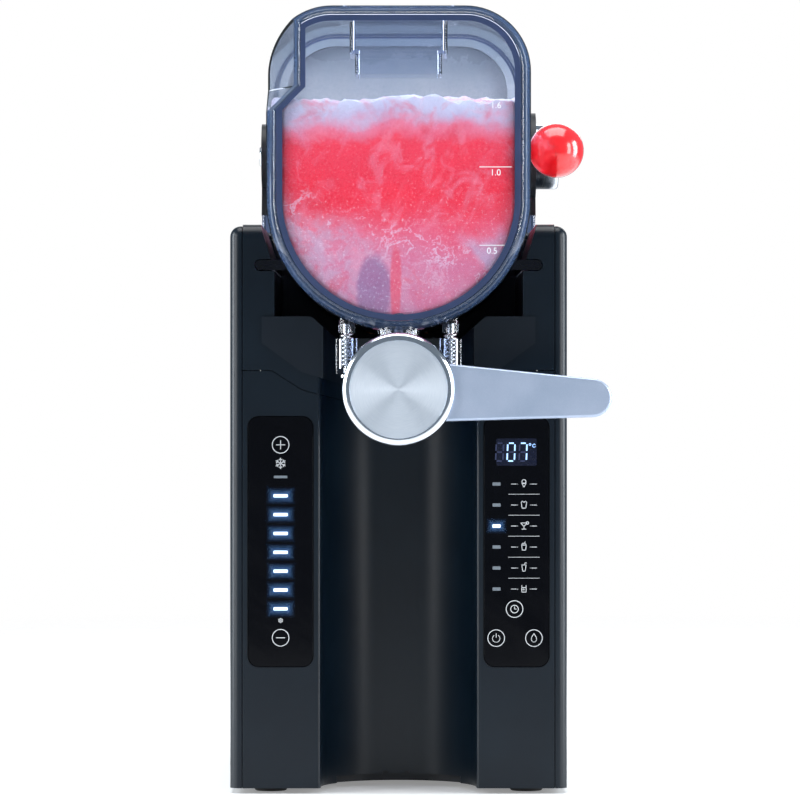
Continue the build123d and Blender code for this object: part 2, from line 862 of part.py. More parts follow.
def filler_lid():
    x = well_width / 2 + lid_margin - lid_gap
    y0 = well_y - lid_margin + lid_gap
    z0, z1 = vessel_top - lid_thickness, vessel_top
    r = lid_thickness / 2
    plate = block(-x, x, y0, lid_pin_y(), z0, z1)
    plate = fillet([e for e in plate.edges().filter_by(Axis.Z) if e.center().Y < y0 + 0.1], 2.7)
    plate += rod((-x, lid_pin_y(), lid_pin_z), (x, lid_pin_y(), lid_pin_z), r)
    rim = well_box(-1.2, z0 - 2.5, z0) - well_box(-2.8, z0 - 3, z0 + 1)
    plate += rim
    tab = rod((0, y0 + 0.5, vessel_top + 3), (0, y0 - 6, vessel_top + 3), 8.0)
    plate += tab & block(-9, 9, y0 - 6, y0 + 1, z0, z1)
    return plate - lid_pin(lid_pin_gap)


def seat():
    # the flat ring that the valve closes on, inside the vessel's floor
    r = spout_bore + seat_width
    ring_block = rod((0, spout_y, axis_z - vessel_radius + 0.5), (0, spout_y, seat_z), r)
    return ring_block & from_front(round_body(0.5), vessel_front + 1, vessel_rear)


def spout_outside():
    r = spout_bore + spout_wall
    tube = rod((0, spout_y, axis_z - vessel_inner + 1), (0, spout_y, spout_end_z), r)
    boss = rod((0, spout_y, handle_z), (0, boss_front_y, handle_z), boss_radius)
    shape = tube + boss
    for x in (-post_offset, post_offset):
        shape += rod((x, spout_y, axis_z - vessel_radius * 0.85), (x, spout_y, post_boss_z), post_boss_radius)
    return shape


def spout_inside():
    # the bore, the slots that the valve's pin rises in, the handle shaft's blind hole and the post holes
    bore = rod((0, spout_y, seat_z + 1), (0, spout_y, spout_end_z - 1), spout_bore)
    slot_half = valve_pin_radius + slot_gap
    slot_top = valve_pin_z + valve_lift + slot_half
    reach = spout_bore + spout_wall + 1
    shape = bore + block(-reach, reach, spout_y - slot_half, spout_y + slot_half, spout_end_z - 1, slot_top)
    hole = handle_shaft_radius + shaft_running_gap
    shape += rod((0, shaft_hole_y() + 0.4, handle_z), (0, boss_front_y - 1, handle_z), hole)
    for x in (-post_offset, post_offset):
        shape += rod((x, spout_y, post_boss_z - 1), (x, spout_y, post_boss_z + 5), post_radius)
    return shape


def shaft_hole_y():
    # where the handle's shaft ends, inside the spout's front wall
    return spout_y - spout_bore - spout_wall / 2


# ---------------------------------------------------------------- lift valve


def valve_poppet():
    z0 = seat_z + seal_thickness
    plug = rod((0, spout_y, z0), (0, spout_y, z0 + poppet_thickness), spout_bore + poppet_lip)
    plug = fillet(plug.edges().group_by(Axis.Z)[-1], 2.0)
    stem = rod((0, spout_y, valve_pin_z - 4.5), (0, spout_y, z0 + 0.5), stem_radius)
    cross = rod((-30, spout_y, valve_pin_z), (30, spout_y, valve_pin_z), valve_pin_radius)
    return plug + stem - cross


def valve_seal():
    z0 = seat_z + 0.02
    seal = rod((0, spout_y, z0), (0, spout_y, z0 + seal_thickness - 0.02), spout_bore + poppet_lip - 0.3)
    return seal - rod((0, spout_y, z0 - 1), (0, spout_y, z0 + 5), stem_radius)


def valve_pin():
    x = pin_ear_x() + 4.5
    return rod((-x, spout_y, valve_pin_z), (x, spout_y, valve_pin_z), valve_pin_radius)


def pin_ear_x():
    return spout_bore + spout_wall + fit_gap


def tap_yoke():
    # two sleeves round the posts, ears down to the valve pin, and a bridge in front with the cam follower
    x0, x1 = post_offset - sleeve_half, post_offset + sleeve_half
    z0, z1 = sleeve_top_z - sleeve_height, sleeve_top_z
    y0, y1 = sleeve_front_y, sleeve_front_y + sleeve_depth
    sleeve = block(x0, x1, y0, y1, z0, z1)
    sleeve = fillet(sleeve.edges().filter_by(Axis.Z), 1.5)
    arm = block(x0, x0 + 5, cam_front_y, y0 + 2, z0, z1)
    ear_x0 = pin_ear_x()
    foot = block(ear_x0, x0 + 5, spout_y - 4, spout_y + 4, z0, z0 + 5)
    drop = block(ear_x0, ear_x0 + 4.5, spout_y - 4, spout_y + 4, valve_pin_z - 4, z0 + 5)
    drop = fillet([e for e in drop.edges().filter_by(Axis.X) if e.center().Z < valve_pin_z], 3.0)
    yoke = None
    for part in (sleeve, arm, foot, drop):
        for side in both_sides(part):
            yoke = side if yoke is None else yoke + side
    yoke += block(-x0 - 5, x0 + 5, cam_front_y, cam_back_y, follower_z, z1)
    for x in (-post_offset, post_offset):
        yoke -= rod((x, spout_y, z0 + sleeve_floor), (x, spout_y, z1 + 1), sleeve_bore)
        yoke -= rod((x, spout_y, z0 - 1), (x, spout_y, z1), post_radius + 0.2)
    yoke -= rod((-40, spout_y, valve_pin_z), (40, spout_y, valve_pin_z), valve_pin_radius)
    return yoke


def tap_posts():
    # two guide screws that hang from the vessel, with washer heads under the sleeves
    posts = []
    z0 = sleeve_top_z - sleeve_height
    for x in (-post_offset, post_offset):
        post = rod((x, spout_y, z0 - 2.5), (x, spout_y, post_boss_z + 5), post_radius)
        head = rod((x, spout_y, z0 - 2.5), (x, spout_y, z0 - 0.6), 3.4)
        posts.append(post + fillet(head.edges().group_by(Axis.Z)[0], 0.6))
    return posts


def tap_springs():
    springs = []
    z0 = sleeve_top_z - sleeve_height + sleeve_floor + spring_wire
    z1 = post_boss_z - spring_wire
    for x in (-post_offset, post_offset):
        path = Helix(pitch=(z1 - z0) / spring_turns, height=z1 - z0, radius=spring_radius)
        wire = Plane(origin=path @ 0, z_dir=path % 0) * Circle(spring_wire - 0.05)
        springs.append(Pos(x, spout_y, z0) * sweep(wire, path=path, is_frenet=True))
    return springs


# ---------------------------------------------------------------- handle


def cam_outline():
    # an involute lobe: turning by an angle lifts a flat follower by cam_rate times that angle
    points = []
    for i in range(19):
        a = math.radians(90 - 5 + i * (handle_turn + 12) / 18)
        h = cam_base + cam_rate * (a - math.pi / 2)
        points.append((h * math.cos(a) - cam_rate * math.sin(a), h * math.sin(a) + cam_rate * math.cos(a)))
    lobe = Spline(*points)
    low = -cam_base * 0.3
    closing = Polyline(points[-1], (-cam_base * 0.55, low), (cam_base * 0.5, low), points[0])
    return make_face(lobe + closing) + Circle(cam_base - 0.9)


def cam_shaft():
    shaft = rod((0, shaft_hole_y(), handle_z), (0, bezel_back_y - 6, handle_z), handle_shaft_radius)
    cam = from_front(Pos(0, handle_z) * cam_outline(), cam_front_y, cam_back_y)
    flat = block(2.6, 10, bezel_back_y - 7, bezel_back_y, handle_z - 10, handle_z + 10)
    return shaft + cam - flat


def handle_bezel():
    # the hub: a round cup with a polished rolled rim, bored for the shaft's flatted end
    cup = rod((0, bezel_back_y, handle_z), (0, bezel_front_y, handle_z), bezel_radius)
    cup = fillet(cup.edges().sort_by(Axis.Y)[0], bezel_round)
    cup = fillet(cup.edges().sort_by(Axis.Y)[-1], 1.0)
    recess = face_thickness + face_recess
    cup -= rod((0, bezel_front_y - 1, handle_z), (0, bezel_front_y + recess, handle_z), face_radius + 0.5)
    return cup - cam_shaft_way() - arm_slot()


def cam_shaft_way():
    bore = rod((0, bezel_back_y + 1, handle_z), (0, bezel_back_y - 6.1, handle_z), handle_shaft_radius + 0.02)
    return bore - block(2.62, 10, bezel_back_y - 8, bezel_back_y + 2, handle_z - 10, handle_z + 10)


def arm_outline(grow):
    tip = Pos(arm_reach - arm_tip_half, handle_z - arm_tip_drop) * Circle(arm_tip_half + grow)
    root = Pos(0, handle_z - arm_root_drop) * Circle(arm_root_half + grow)
    return make_hull(tip.edges() + root.edges())


def arm_slot():
    y0 = bezel_back_y - arm_thickness - 1.0
    return from_front(arm_outline(0.02), y0, y0 + arm_thickness) & block(
        17, 60, y0 - 1, bezel_back_y + 1, handle_z - 40, handle_z + 40
    )


def handle_arm():
    y0 = bezel_back_y - arm_thickness - 1.0
    arm = from_front(arm_outline(0), y0, y0 + arm_thickness)
    arm &= block(17.02, arm_reach + 5, y0 - 1, y0 + arm_thickness + 1, handle_z - 40, handle_z + 40)
    rim = [e for e in arm.edges() if abs(e.center().Y - y0) < 0.01 and e.center().X > 17.5]
    arm = fillet(rim, arm_soft)
    y1 = y0 + arm_thickness
    back_rim = [e for e in arm.edges() if abs(e.center().Y - y1) < 0.01 and e.center().X > 17.5]
    return fillet(back_rim, 0.8)


def handle_face():
    y1 = bezel_front_y + face_recess + face_thickness
    disc = rod((0, y1, handle_z), (0, bezel_front_y + face_recess, handle_z), face_radius)
    return chamfer(disc.edges().sort_by(Axis.Y)[0], 0.4)


# ---------------------------------------------------------------- lid lock


def lock_shaft():
    x0 = lock_cam_x + lock_cam_thickness
    left, right = -x0 - lock_cap_length * 0.6, x0 + lock_hub_length * 0.7
    return rod((left, lock_y, lock_z), (right, lock_y, lock_z), lock_shaft_radius)


def lock_cam(radius):
    # a disc with a nose that bears on the vessel's ear
    x0, x1 = lock_cam_x, lock_cam_x + lock_cam_thickness
    nose = lock_z - ear_top_z - lock_nose_gap
    spread = nose * math.tan(math.radians(lock_nose_half_angle))
    side = Plane(origin=(x0, lock_y, lock_z), x_dir=(0, 1, 0), z_dir=(1, 0, 0))
    face = make_face(Polyline((0, 0), (-spread, -nose), (spread, -nose), close=True))
    wedge = extrude(side * face, amount=x1 - x0)
    wedge &= rod((x0 - 1, lock_y, lock_z), (x1 + 1, lock_y, lock_z), nose)
    cam = rod((x0, lock_y, lock_z), (x1, lock_y, lock_z), radius) + wedge
    return cam - rod((x0 - 1, lock_y, lock_z), (x1 + 1, lock_y, lock_z), lock_shaft_radius)


def lock_cams():
    return [lock_cam(lock_cam_radius), mirror(lock_cam(lock_left_cam_radius), about=Plane.YZ)]


def lock_bushes():
    # flanged bearings in the tower's side walls
    x0, x1 = tower_half - wall - 2, lock_cam_x - 0.1
    bush = rod((x0, lock_y, lock_z), (tower_half + 0.02, lock_y, lock_z), bush_radius())
    bush += rod((tower_half, lock_y, lock_z), (x1, lock_y, lock_z), bush_radius() + 4)
    bush -= rod((x0 - 1, lock_y, lock_z), (x1 + 1, lock_y, lock_z), lock_shaft_radius + shaft_running_gap)
    return both_sides(bush)


def lock_hub():
    x0 = lock_cam_x + lock_cam_thickness
    hub = rod((x0, lock_y, lock_z), (x0 + lock_hub_length, lock_y, lock_z), lock_hub_radius)
    hub = fillet(hub.edges().sort_by(Axis.X)[-1], 2.0)
    hub -= rod((x0 - 1, lock_y, lock_z), (x0 + lock_hub_length * 0.7, lock_y, lock_z), lock_shaft_radius)
    arm_x = lock_arm_x()
    return hub - rod((arm_x, lock_y - 8, lock_z), (arm_x, lock_y - 40, lock_z), lock_arm_radius)


def lock_arm_x():
    return lock_cam_x + lock_cam_thickness + lock_hub_length / 2


def lock_arm():
    x, y = lock_arm_x(), lock_y
    bend_y = y - lock_hub_radius - 12
    ball_y = y - lock_arm_length
    out = lock_arm_offset
    points = [(x, y - 8, lock_z), (x, bend_y, lock_z), (out, bend_y - 16, lock_z), (out, ball_y + 6, lock_z)]
    path = FilletPolyline(*points, radius=14)
    return sweep(Plane(origin=path @ 0, z_dir=path % 0) * Circle(lock_arm_radius), path=path)


def lock_ball():
    ball_y = lock_y - lock_arm_length
    ball = Pos(lock_arm_offset, ball_y, lock_z) * Sphere(ball_radius)
    x, flat_y = lock_arm_offset, ball_y + ball_radius - 1.2
    ball -= block(x - 20, x + 20, flat_y, ball_y + 30, lock_z - 20, lock_z + 20)
    return ball - rod((x, ball_y + 6, lock_z), (x, ball_y + 30, lock_z), lock_arm_radius)


def lock_cap():
    x0 = lock_cam_x + lock_cam_thickness
    cap = rod((-x0, lock_y, lock_z), (-x0 - lock_cap_length, lock_y, lock_z), lock_cap_radius)
    cap = fillet(cap.edges().sort_by(Axis.X)[0], 1.2)
    shaft_end = -x0 - lock_cap_length * 0.6
    return cap - rod((-x0 + 1, lock_y, lock_z), (shaft_end, lock_y, lock_z), lock_shaft_radius)


# ---------------------------------------------------------------- drum, auger and drive


def evaporator_drum():
    y0, y1 = drum_front_y, plate_y - 1.5
    outer = rod((0, y1, axis_z), (0, y0, axis_z), drum_radius)
    outer = fillet(outer.edges().sort_by(Axis.Y)[0], drum_dome)
    inner = rod((0, y1 + 1, axis_z), (0, y0 + drum_wall, axis_z), drum_radius - drum_wall)
    inner = fillet(inner.edges().sort_by(Axis.Y)[0], drum_dome - drum_wall)
    flange = rod((0, y1, axis_z), (0, y1 - drum_wall, axis_z), drum_radius + 8)
    shell = outer + flange - inner
    core = ring((0, y0 + drum_wall, axis_z), (0, tower_front + 4, axis_z), core_radius, core_radius - 1.2)
    shell -= rod((0, y0 - 1, axis_z), (0, y1, axis_z), core_radius - 1.2)
    for x, z in drum_screws():
        shell -= rod((x, y1 + 1, z), (x, y1 - 3, z), screw_radius + 0.1)
    return shell + core


def shaft_bushes():
    inner = shaft_radius + shaft_running_gap
    front_bush = ring((0, drum_front_y, axis_z), (0, drum_front_y + 14, axis_z), core_radius - 1.22, inner)
    front_bush += ring((0, drum_front_y - 2, axis_z), (0, drum_front_y, axis_z), core_radius + 2, inner)
    rear_bush = ring((0, tower_front - 8, axis_z), (0, tower_front + 4, axis_z), core_radius - 1.22, inner)
    return [front_bush, rear_bush]


def evaporator_coil():
    # a copper helix against the drum's inside, with its two ends led back through the face plate
    r = drum_radius - drum_wall - coil_tube_radius - 0.1
    turns_length = drum_length - 34
    pitch = coil_tube_radius * 2 + 4.5
    helix = Helix(pitch=pitch, height=turns_length, radius=r)
    section = Plane(origin=helix @ 0, z_dir=helix % 0) * Circle(coil_tube_radius)
    tube = sweep(section, path=helix, is_frenet=True)
    return Plane(origin=(0, plate_y - 16, axis_z), x_dir=(1, 0, 0), z_dir=(0, -1, 0)) * tube


def drum_screw_set():
    return [screw(x, plate_y - 1.5 - drum_wall, z, (0, 1, 0)) for x, z in drum_screws()]


def drive_shaft():
    y0, y1 = shaft_front_y + 1.5, gearbox_y + 10
    shaft = rod((0, y1, axis_z), (0, y0, axis_z), shaft_radius)
    end = drum_front_y - 2.5
    square = shaft_square / 2
    trim = rod((0, y0 - 1, axis_z), (0, end, axis_z), shaft_radius + 1)
    trim -= block(-square, square, y0 - 2, end + 1, axis_z - square, axis_z + square)
    return shaft - trim


def auger():
    inner = drum_radius + auger_gap
    outer = auger_radius
    length = auger_pitch * auger_turns
    rear_y = plate_y - plug_depth - 3
    root = inner + auger_bar_depth / 3
    helix = Helix(pitch=auger_pitch, height=length, radius=(root + outer) / 2)
    section = Plane(origin=helix @ 0, x_dir=(1, 0, 0), z_dir=helix % 0)
    section *= Rectangle(outer - root, auger_thickness)
    flight = sweep(section, path=helix, is_frenet=True)
    flight = Plane(origin=(0, rear_y - 3, axis_z), x_dir=(1, 0, 0), z_dir=(0, -1, 0)) * flight
    hub_y = drum_front_y - drum_dome + 1.5
    body = ring((0, rear_y, axis_z), (0, rear_y - 5, axis_z), inner + auger_bar_depth, inner)
    for i in range(auger_bar_count):
        a = 360 * i / auger_bar_count
        half_bar = auger_bar_width / 2
        bar = block(-half_bar, half_bar, hub_y - 6, rear_y, inner + 0.3, inner + auger_bar_depth)
        arm = block(-auger_arm_width / 2, auger_arm_width / 2, hub_y - 8, hub_y, 0, inner + auger_bar_depth)
        body += Pos(0, 0, axis_z) * Rot(0, a, 0) * (bar + arm)
    body += rod((0, hub_y, axis_z), (0, hub_y - auger_hub_length, axis_z), auger_hub_radius)
    paddle = block(-4, 4, hub_y - 14, hub_y, 0, outer)
    paddle = Rot(0, 180, 0) * paddle
    body += Pos(0, 0, axis_z) * paddle
    body += flight
    square = shaft_square / 2 + square_gap
    body -= rod((0, hub_y + 1, axis_z), (0, hub_y - 0.01, axis_z), auger_hub_radius - 4)
    body -= block(-square, square, shaft_front_y + 1.0, hub_y + 1, axis_z - square, axis_z + square)
    return body


def gearbox():
    box = rod((0, gearbox_y, axis_z), (0, motor_y, axis_z), gearbox_radius)
    box = chamfer(box.edges().filter_by(GeomType.CIRCLE), 1.5)
    for x, z in gearbox_screw_places():
        lug = rod((x, tower_front, z), (x, gearbox_y + 4, z), 5.0)
        box += lug
        box -= rod((x, tower_front - 1, z), (x, tower_front + 9, z), screw_radius)
    bore = shaft_radius + shaft_running_gap
    return box - rod((0, gearbox_y - 1, axis_z), (0, gearbox_y + 12, axis_z), bore)


def gearbox_screw_places():
    r = gearbox_screw_circle
    return [(r * math.cos(math.radians(a)), axis_z + r * math.sin(math.radians(a))) for a in (0, 180, 270)]


def auger_motor():
    can = rod((0, motor_y, axis_z), (0, motor_y + motor_length, axis_z), motor_radius)
    can = fillet(can.edges().sort_by(Axis.Y)[-1], 4.0)
    cap = rod((0, motor_y + motor_length - 0.1, axis_z), (0, motor_y + motor_length + 5, axis_z), 8.0)
    vent = block(-2, 2, motor_y + 12, motor_y + 40, motor_radius - 1.5, motor_radius + 2)
    vents = [Pos(0, 0, axis_z) * Rot(0, a, 0) * vent for a in range(0, 360, 45)]
    can += cap
    for vent in vents:
        can -= vent
    return can


# ---------------------------------------------------------------- cooling system


def compressor_y():
    return front + channel_depth + wall + compressor_radius + 16


def compressor():
    z0 = foot_height + wall + grommet_height
    can = Pos(0, compressor_y(), z0) * Cylinder(
        compressor_radius, compressor_height, align=(Align.CENTER, Align.CENTER, Align.MIN)
    )
    can = fillet(can.edges().filter_by(GeomType.CIRCLE), compressor_round)
    weld = Pos(0, compressor_y(), z0 + compressor_height * 0.55) * Cylinder(compressor_radius + 1.5, 3)
    foot = block(-62, 62, compressor_y() - 34, compressor_y() + 34, z0, z0 + 3)
    foot = fillet(foot.edges().filter_by(Axis.Z), 8)
    body = can + weld + foot
    for x, y in grommet_places():
        body -= rod((x, y, z0 - 1), (x, y, z0 + 4), 4.0)
    rear = compressor_y() + compressor_radius
    body += rod((0, rear - 4, z0 + 40), (0, rear + 9, z0 + 40), 7.0)
    cover_y = compressor_y() - compressor_radius
    body += block(-16, 16, cover_y - 9, cover_y + 10, z0 + 24, z0 + 62)
    return body


def grommet_places():
    return [(sx * 54, compressor_y() + sy * 26) for sx in (-1, 1) for sy in (-1, 1)]


def compressor_grommets():
    z0 = foot_height + wall
    shapes = []
    for x, y in grommet_places():
        rubber = rod((x, y, z0), (x, y, z0 + grommet_height), 6.5)
        rubber += rod((x, y, z0 + grommet_height - 0.1), (x, y, z0 + grommet_height + 3), 3.9)
        rubber += rod((x, y, z0 + grommet_height + 3), (x, y, z0 + grommet_height + 5.5), 6.0)
        shapes.append(rubber - rod((x, y, z0 - 1), (x, y, z0 + 30), 2.2))
    return shapes


def compressor_bolts():
    z0 = foot_height + wall
    shapes = []
    for x, y in grommet_places():
        bolt = rod((x, y, z0), (x, y, z0 + grommet_height + 9), 2.0)
        nut = Pos(x, y, z0 + grommet_height + 5.5) * extrude(RegularPolygon(4.4, 6), amount=3.2)
        shapes.append(bolt + nut)
    return shapes


def coil_paths():
    # the condenser's serpentine: each column climbs row by row, crossing from side to side
    z0 = condenser_z0() + 10
    pitch = (condenser_height - 20) / (coil_rows - 1)
    x = condenser_width / 2 + 2
    for column in range(coil_columns):
        y = condenser_y + condenser_depth * (column + 0.5) / coil_columns
        yield y, z0, pitch, x


def condenser_z0():
    return fan_centre_z() - condenser_height / 2


def condenser_tube():
    tubes = []
    for y, z0, pitch, x in coil_paths():
        points = []
        for row in range(coil_rows):
            z = z0 + row * pitch
            ends = (-x - pitch / 2, x + pitch / 2) if row % 2 == 0 else (x + pitch / 2, -x - pitch / 2)
            points += [(ends[0], y, z), (ends[1], y, z)]
        points[0] = (-x, y, z0)
        points[-1] = (-x, y, z0 + (coil_rows - 1) * pitch)
        path = FilletPolyline(*points, radius=pitch / 2 - 0.4)
        tubes.append(sweep(Plane(origin=path @ 0, z_dir=path % 0) * Circle(coil_tube_radius), path=path))
    return tubes


def condenser_fins():
    fins = []
    holes = []
    for y, z0, pitch, x in coil_paths():
        for row in range(coil_rows):
            z = z0 + row * pitch
            holes.append(Pos(y, z) * Circle(coil_tube_radius + 0.02))
    middle = Pos(condenser_y + condenser_depth / 2, fan_centre_z())
    outline = middle * Rectangle(condenser_depth, condenser_height)
    for hole in holes:
        outline -= hole
    side = Plane(origin=(0, 0, 0), x_dir=(0, 1, 0), z_dir=(1, 0, 0))
    pitch = condenser_width / (fin_count - 1)
    for i in range(fin_count):
        x = -condenser_width / 2 + i * pitch
        thick = 1.4 if i in (0, fin_count - 1) else fin_thickness
        plane = Plane(origin=(x - thick / 2, 0, 0), x_dir=side.x_dir, z_dir=side.z_dir)
        fins.append(extrude(plane * outline, amount=thick))
    return fins


def fan_frame():
    y0, y1 = fan_y, fan_y + fan_depth
    z = fan_centre_z()
    frame = from_front(Pos(0, z) * RectangleRounded(fan_size, fan_size, 6), y0, y1)
    frame -= rod((0, y0 - 1, z), (0, y1 + 1, z), fan_bore)
    hub = rod((0, y1 - 4, z), (0, y1, z), fan_hub_radius)
    for i in range(fan_strut_count):
        strut = block(fan_hub_radius - 2, fan_bore + 2, y1 - 4, y1, -2.5, 2.5)
        hub += Pos(0, 0, z) * Rot(0, 45 + 360 * i / fan_strut_count, 0) * strut
    frame += hub
    frame += rod((0, y1 - 4, z), (0, y0 + 8, z), 2.0)
    for sx in (-1, 1):
        for sz in (-1, 1):
            x, zz = sx * (fan_size / 2 - 7.5), z + sz * (fan_size / 2 - 7.5)
            frame -= rod((x, y0 - 1, zz), (x, y1 + 1, zz), 2.2)
    foot_z = foot_height + wall
    for sx in (-1, 1):
        frame += block(sx * 40 - 6, sx * 40 + 6, y0 + 4, y0 + 10, foot_z, z - fan_size / 2 + 1)
    return frame


def fan_rotor():
    y0, y1 = fan_y + 2, fan_y + fan_depth - 5
    z = fan_centre_z()
    hub = rod((0, y0, z), (0, y1, z), fan_hub_radius)
    hub = fillet(hub.edges().sort_by(Axis.Y)[0], 2.0)
    blade = block(fan_hub_radius - 1.5, fan_blade_reach, -0.8, 0.8, -15, 15)
    blade = Rot(42, 0, 0) * blade
    mid_y = (y0 + y1) / 2
    for i in range(fan_blades):
        hub += Pos(0, mid_y, z) * Rot(0, 360 * i / fan_blades, 0) * blade
    hub &= rod((0, y0, z), (0, y1, z), fan_blade_reach)
    return hub - rod((0, fan_y + 5, z), (0, y1 + 1, z), 2.05)


def bent_tube(points, radius, bend):
    path = FilletPolyline(*points, radius=bend)
    return sweep(Plane(origin=path @ 0, z_dir=path % 0) * Circle(radius), path=path)


def drier_place():
    return 58.0, compressor_y() + 62, foot_height + wall + 40


def filter_drier():
    x, y, z = drier_place()
    can = rod((x, y, z), (x, y, z + drier_length), drier_radius)
    can = fillet(can.edges().filter_by(GeomType.CIRCLE), 6.0)
    return can + rod((x, y, z - 8), (x, y, z + drier_length + 8), 3.6)


def compressor_top():
    return foot_height + wall + grommet_height + compressor_height


def condenser_end(row_z):
    # the last two corners of a pipe that joins the condenser's front column at its left side
    x, y = condenser_width / 2 + 2, condenser_y + condenser_depth / coil_columns / 2
    return [(-x - 7.5, y, row_z), (-x - 0.02, y, row_z)]


def discharge_tube():
    y, z = compressor_y(), compressor_top() + 26
    near_y, top = condenser_y - 14, condenser_z0() + condenser_height - 10
    ends = condenser_end(top)
    points = [(-24, y, compressor_top() + 0.02), (-24, y, z), (-24, near_y, z), (ends[0][0], near_y, top)]
    return bent_tube(points + ends, pipe_radius, 6)


def suction_tube():
    x, z = pipe_ports()[0]
    y, cy = tower_front + 8, compressor_y()
    low = trough_floor_z - wall - 14
    points = [(x, plate_y - 14, z), (x, y, z), (x, y, low)]
    points += [(-4, cy, low - 26), (-4, cy, compressor_top() + 0.02)]
    return bent_tube(points, pipe_radius, 7)


def capillary_tube():
    x, z = pipe_ports()[1]
    dx, dy, dz = drier_place()
    y, low = tower_front + 8, trough_floor_z - wall - 20
    points = [(x, plate_y - 14, z), (x, y, z), (x, y, low)]
    points += [(dx, dy, low - 10), (dx, dy, dz + drier_length + 8.02)]
    return bent_tube(points, capillary_radius, 6)


def liquid_tube():
    dx, dy, dz = drier_place()
    z = condenser_z0() + 10
    ends = condenser_end(z)
    near_y = condenser_y - 14
    points = [(dx, dy, dz - 8.02), (dx, dy, dz - 20), (dx, near_y, dz - 20), (ends[0][0], near_y, z)]
    return bent_tube(points + ends, pipe_radius, 6)


# ---------------------------------------------------------------- electrics


def main_board():
    x = -half + 16
    y0, y1 = front + 70, front + 170
    z0, z1 = foot_height + 130, foot_height + 205
    board = block(x, x + board_thickness, y0, y1, z0, z1)
    x1 = x + board_thickness
    board += block(x1, x1 + 16, y0 + 8, y0 + 32, z0 + 8, z0 + 36)
    board += rod((x1, y0 + 48, z0 + 20), (x1 + 16, y0 + 48, z0 + 20), 8)
    board += rod((x1, y0 + 70, z0 + 20), (x1 + 12, y0 + 70, z0 + 20), 6)
    board += block(x1, x1 + 10, y0 + 50, y0 + 66, z0 + 44, z0 + 62)
    board += block(x1, x1 + 5, y0 + 10, y0 + 40, z0 + 50, z0 + 60)
    board += block(x1, x1 + 3, y0 + 74, y0 + 88, z0 + 44, z0 + 58)
    return board


def board_bracket():
    x = -half + 16
    y0, y1 = front + 66, front + 174
    z0, z1 = foot_height + 126, foot_height + 209
    tray = block(x - 5, x - 0.05, y0, y1, z0, z1) - block(x - 3, x + 1, y0 + 6, y1 - 6, z0 + 6, z1 - 6)
    foot = block(x - 5, x - 2, y0, y0 + 10, foot_height + wall, z0 + 1)
    return tray + foot + Pos(0, y1 - y0 - 10, 0) * foot


def power_inlet():
    w, h = inlet_cavity_width, inlet_cavity_height
    y1 = back + 2.0
    at = Pos(inlet_x, inlet_z)
    bottom_y = back - inlet_cavity_depth
    flange = from_front(at * RectangleRounded(inlet_flange_width, inlet_flange_height, 4), back, y1)
    shell = from_front(at * Rectangle(w + 2 * inlet_wall, h + 2 * inlet_wall), bottom_y - 4, back + 0.1)
    cavity = Pos(inlet_x, inlet_z) * Rectangle(w, h)
    cavity = chamfer(cavity.vertices().group_by(Axis.Y)[-1], 4.0)
    inlet = flange + shell - from_front(cavity, back - inlet_cavity_depth + 2, y1 + 1)
    for dx, dz in ((-7, -2), (7, -2), (0, 2)):
        x, z = inlet_x + dx, inlet_z + dz
        pw, ph = inlet_pin_width / 2, inlet_pin_height / 2
        pin = block(x - pw, x + pw, bottom_y - 14, y1 - inlet_pin_recess, z - ph, z + ph)
        inlet += pin
    for x, z in inlet_screw_places():
        inlet -= rod((x, back - 5, z), (x, y1 + 1, z), screw_radius + 0.2)
    return inlet


def inlet_screws():
    return [screw(x, back + 2.0, z, (0, -1, 0)) for x, z in inlet_screw_places()]


os.makedirs("parts", exist_ok=True)

right_shell = right_side_shell()
save("base_pan", base_pan())
save("rubber_feet", *rubber_feet())
save("right_side_shell", right_shell)
save("left_side_shell", mirror(right_shell, about=Plane.YZ))
save("front_fascia", front_fascia())
save("upper_front", upper_front())
save("tap_surround", tap_surround())
save("cradle", cradle())
save("top_deck", top_deck())
save("tower_shell", tower_shell())
save("face_plate", face_plate())
save("vessel_gasket", vessel_gasket())
save("rear_cover", rear_cover())
save("rear_cover_screws", *rear_cover_screws())
save("left_control_glass", control_glass(-panel_centre))
save("right_control_glass", control_glass(panel_centre))
save("left_light_guides", *light_guides(light_windows()[:guide_count]))
save("right_light_guides", *light_guides(light_windows()[guide_count:]))
save("left_panel_board", panel_board(-panel_centre))
save("right_panel_board", panel_board(panel_centre))
save("vessel", vessel())
save("filler_lid", filler_lid())
save("lid_pin", lid_pin())
save("valve_poppet", valve_poppet())
save("valve_seal", valve_seal())
save("valve_pin", valve_pin())
save("tap_yoke", tap_yoke())
save("tap_posts", *tap_posts())
save("tap_springs", *tap_springs())
save("cam_shaft", cam_shaft())
save("handle_bezel", handle_bezel())
save("handle_arm", handle_arm())
save("handle_face", handle_face())
save("lock_shaft", lock_shaft())
save("lock_cams", *lock_cams())
save("lock_bushes", *lock_bushes())
save("lock_hub", lock_hub())
save("lock_arm", lock_arm())
save("lock_ball", lock_ball())
save("lock_cap", lock_cap())
save("evaporator_drum", evaporator_drum())
save("shaft_bushes", *shaft_bushes())
save("evaporator_coil", evaporator_coil())
save("drum_screws", *drum_screw_set())
save("drive_shaft", drive_shaft())
save("auger", auger())
save("gearbox", gearbox())
save("auger_motor", auger_motor())
save("compressor", compressor())
save("compressor_grommets", *compressor_grommets())
save("compressor_bolts", *compressor_bolts())
save("condenser_fins", *condenser_fins())
save("condenser_tube", *condenser_tube())
save("fan_frame", fan_frame())
save("fan_rotor", fan_rotor())
save("filter_drier", filter_drier())
save("refrigerant_pipes", discharge_tube(), suction_tube(), capillary_tube(), liquid_tube())
save("main_board", main_board(), board_bracket())
save("power_inlet", power_inlet())
save("inlet_screws", *inlet_screws())
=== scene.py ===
import bpy
import bmesh
import math
from mathutils import Matrix, Vector, noise


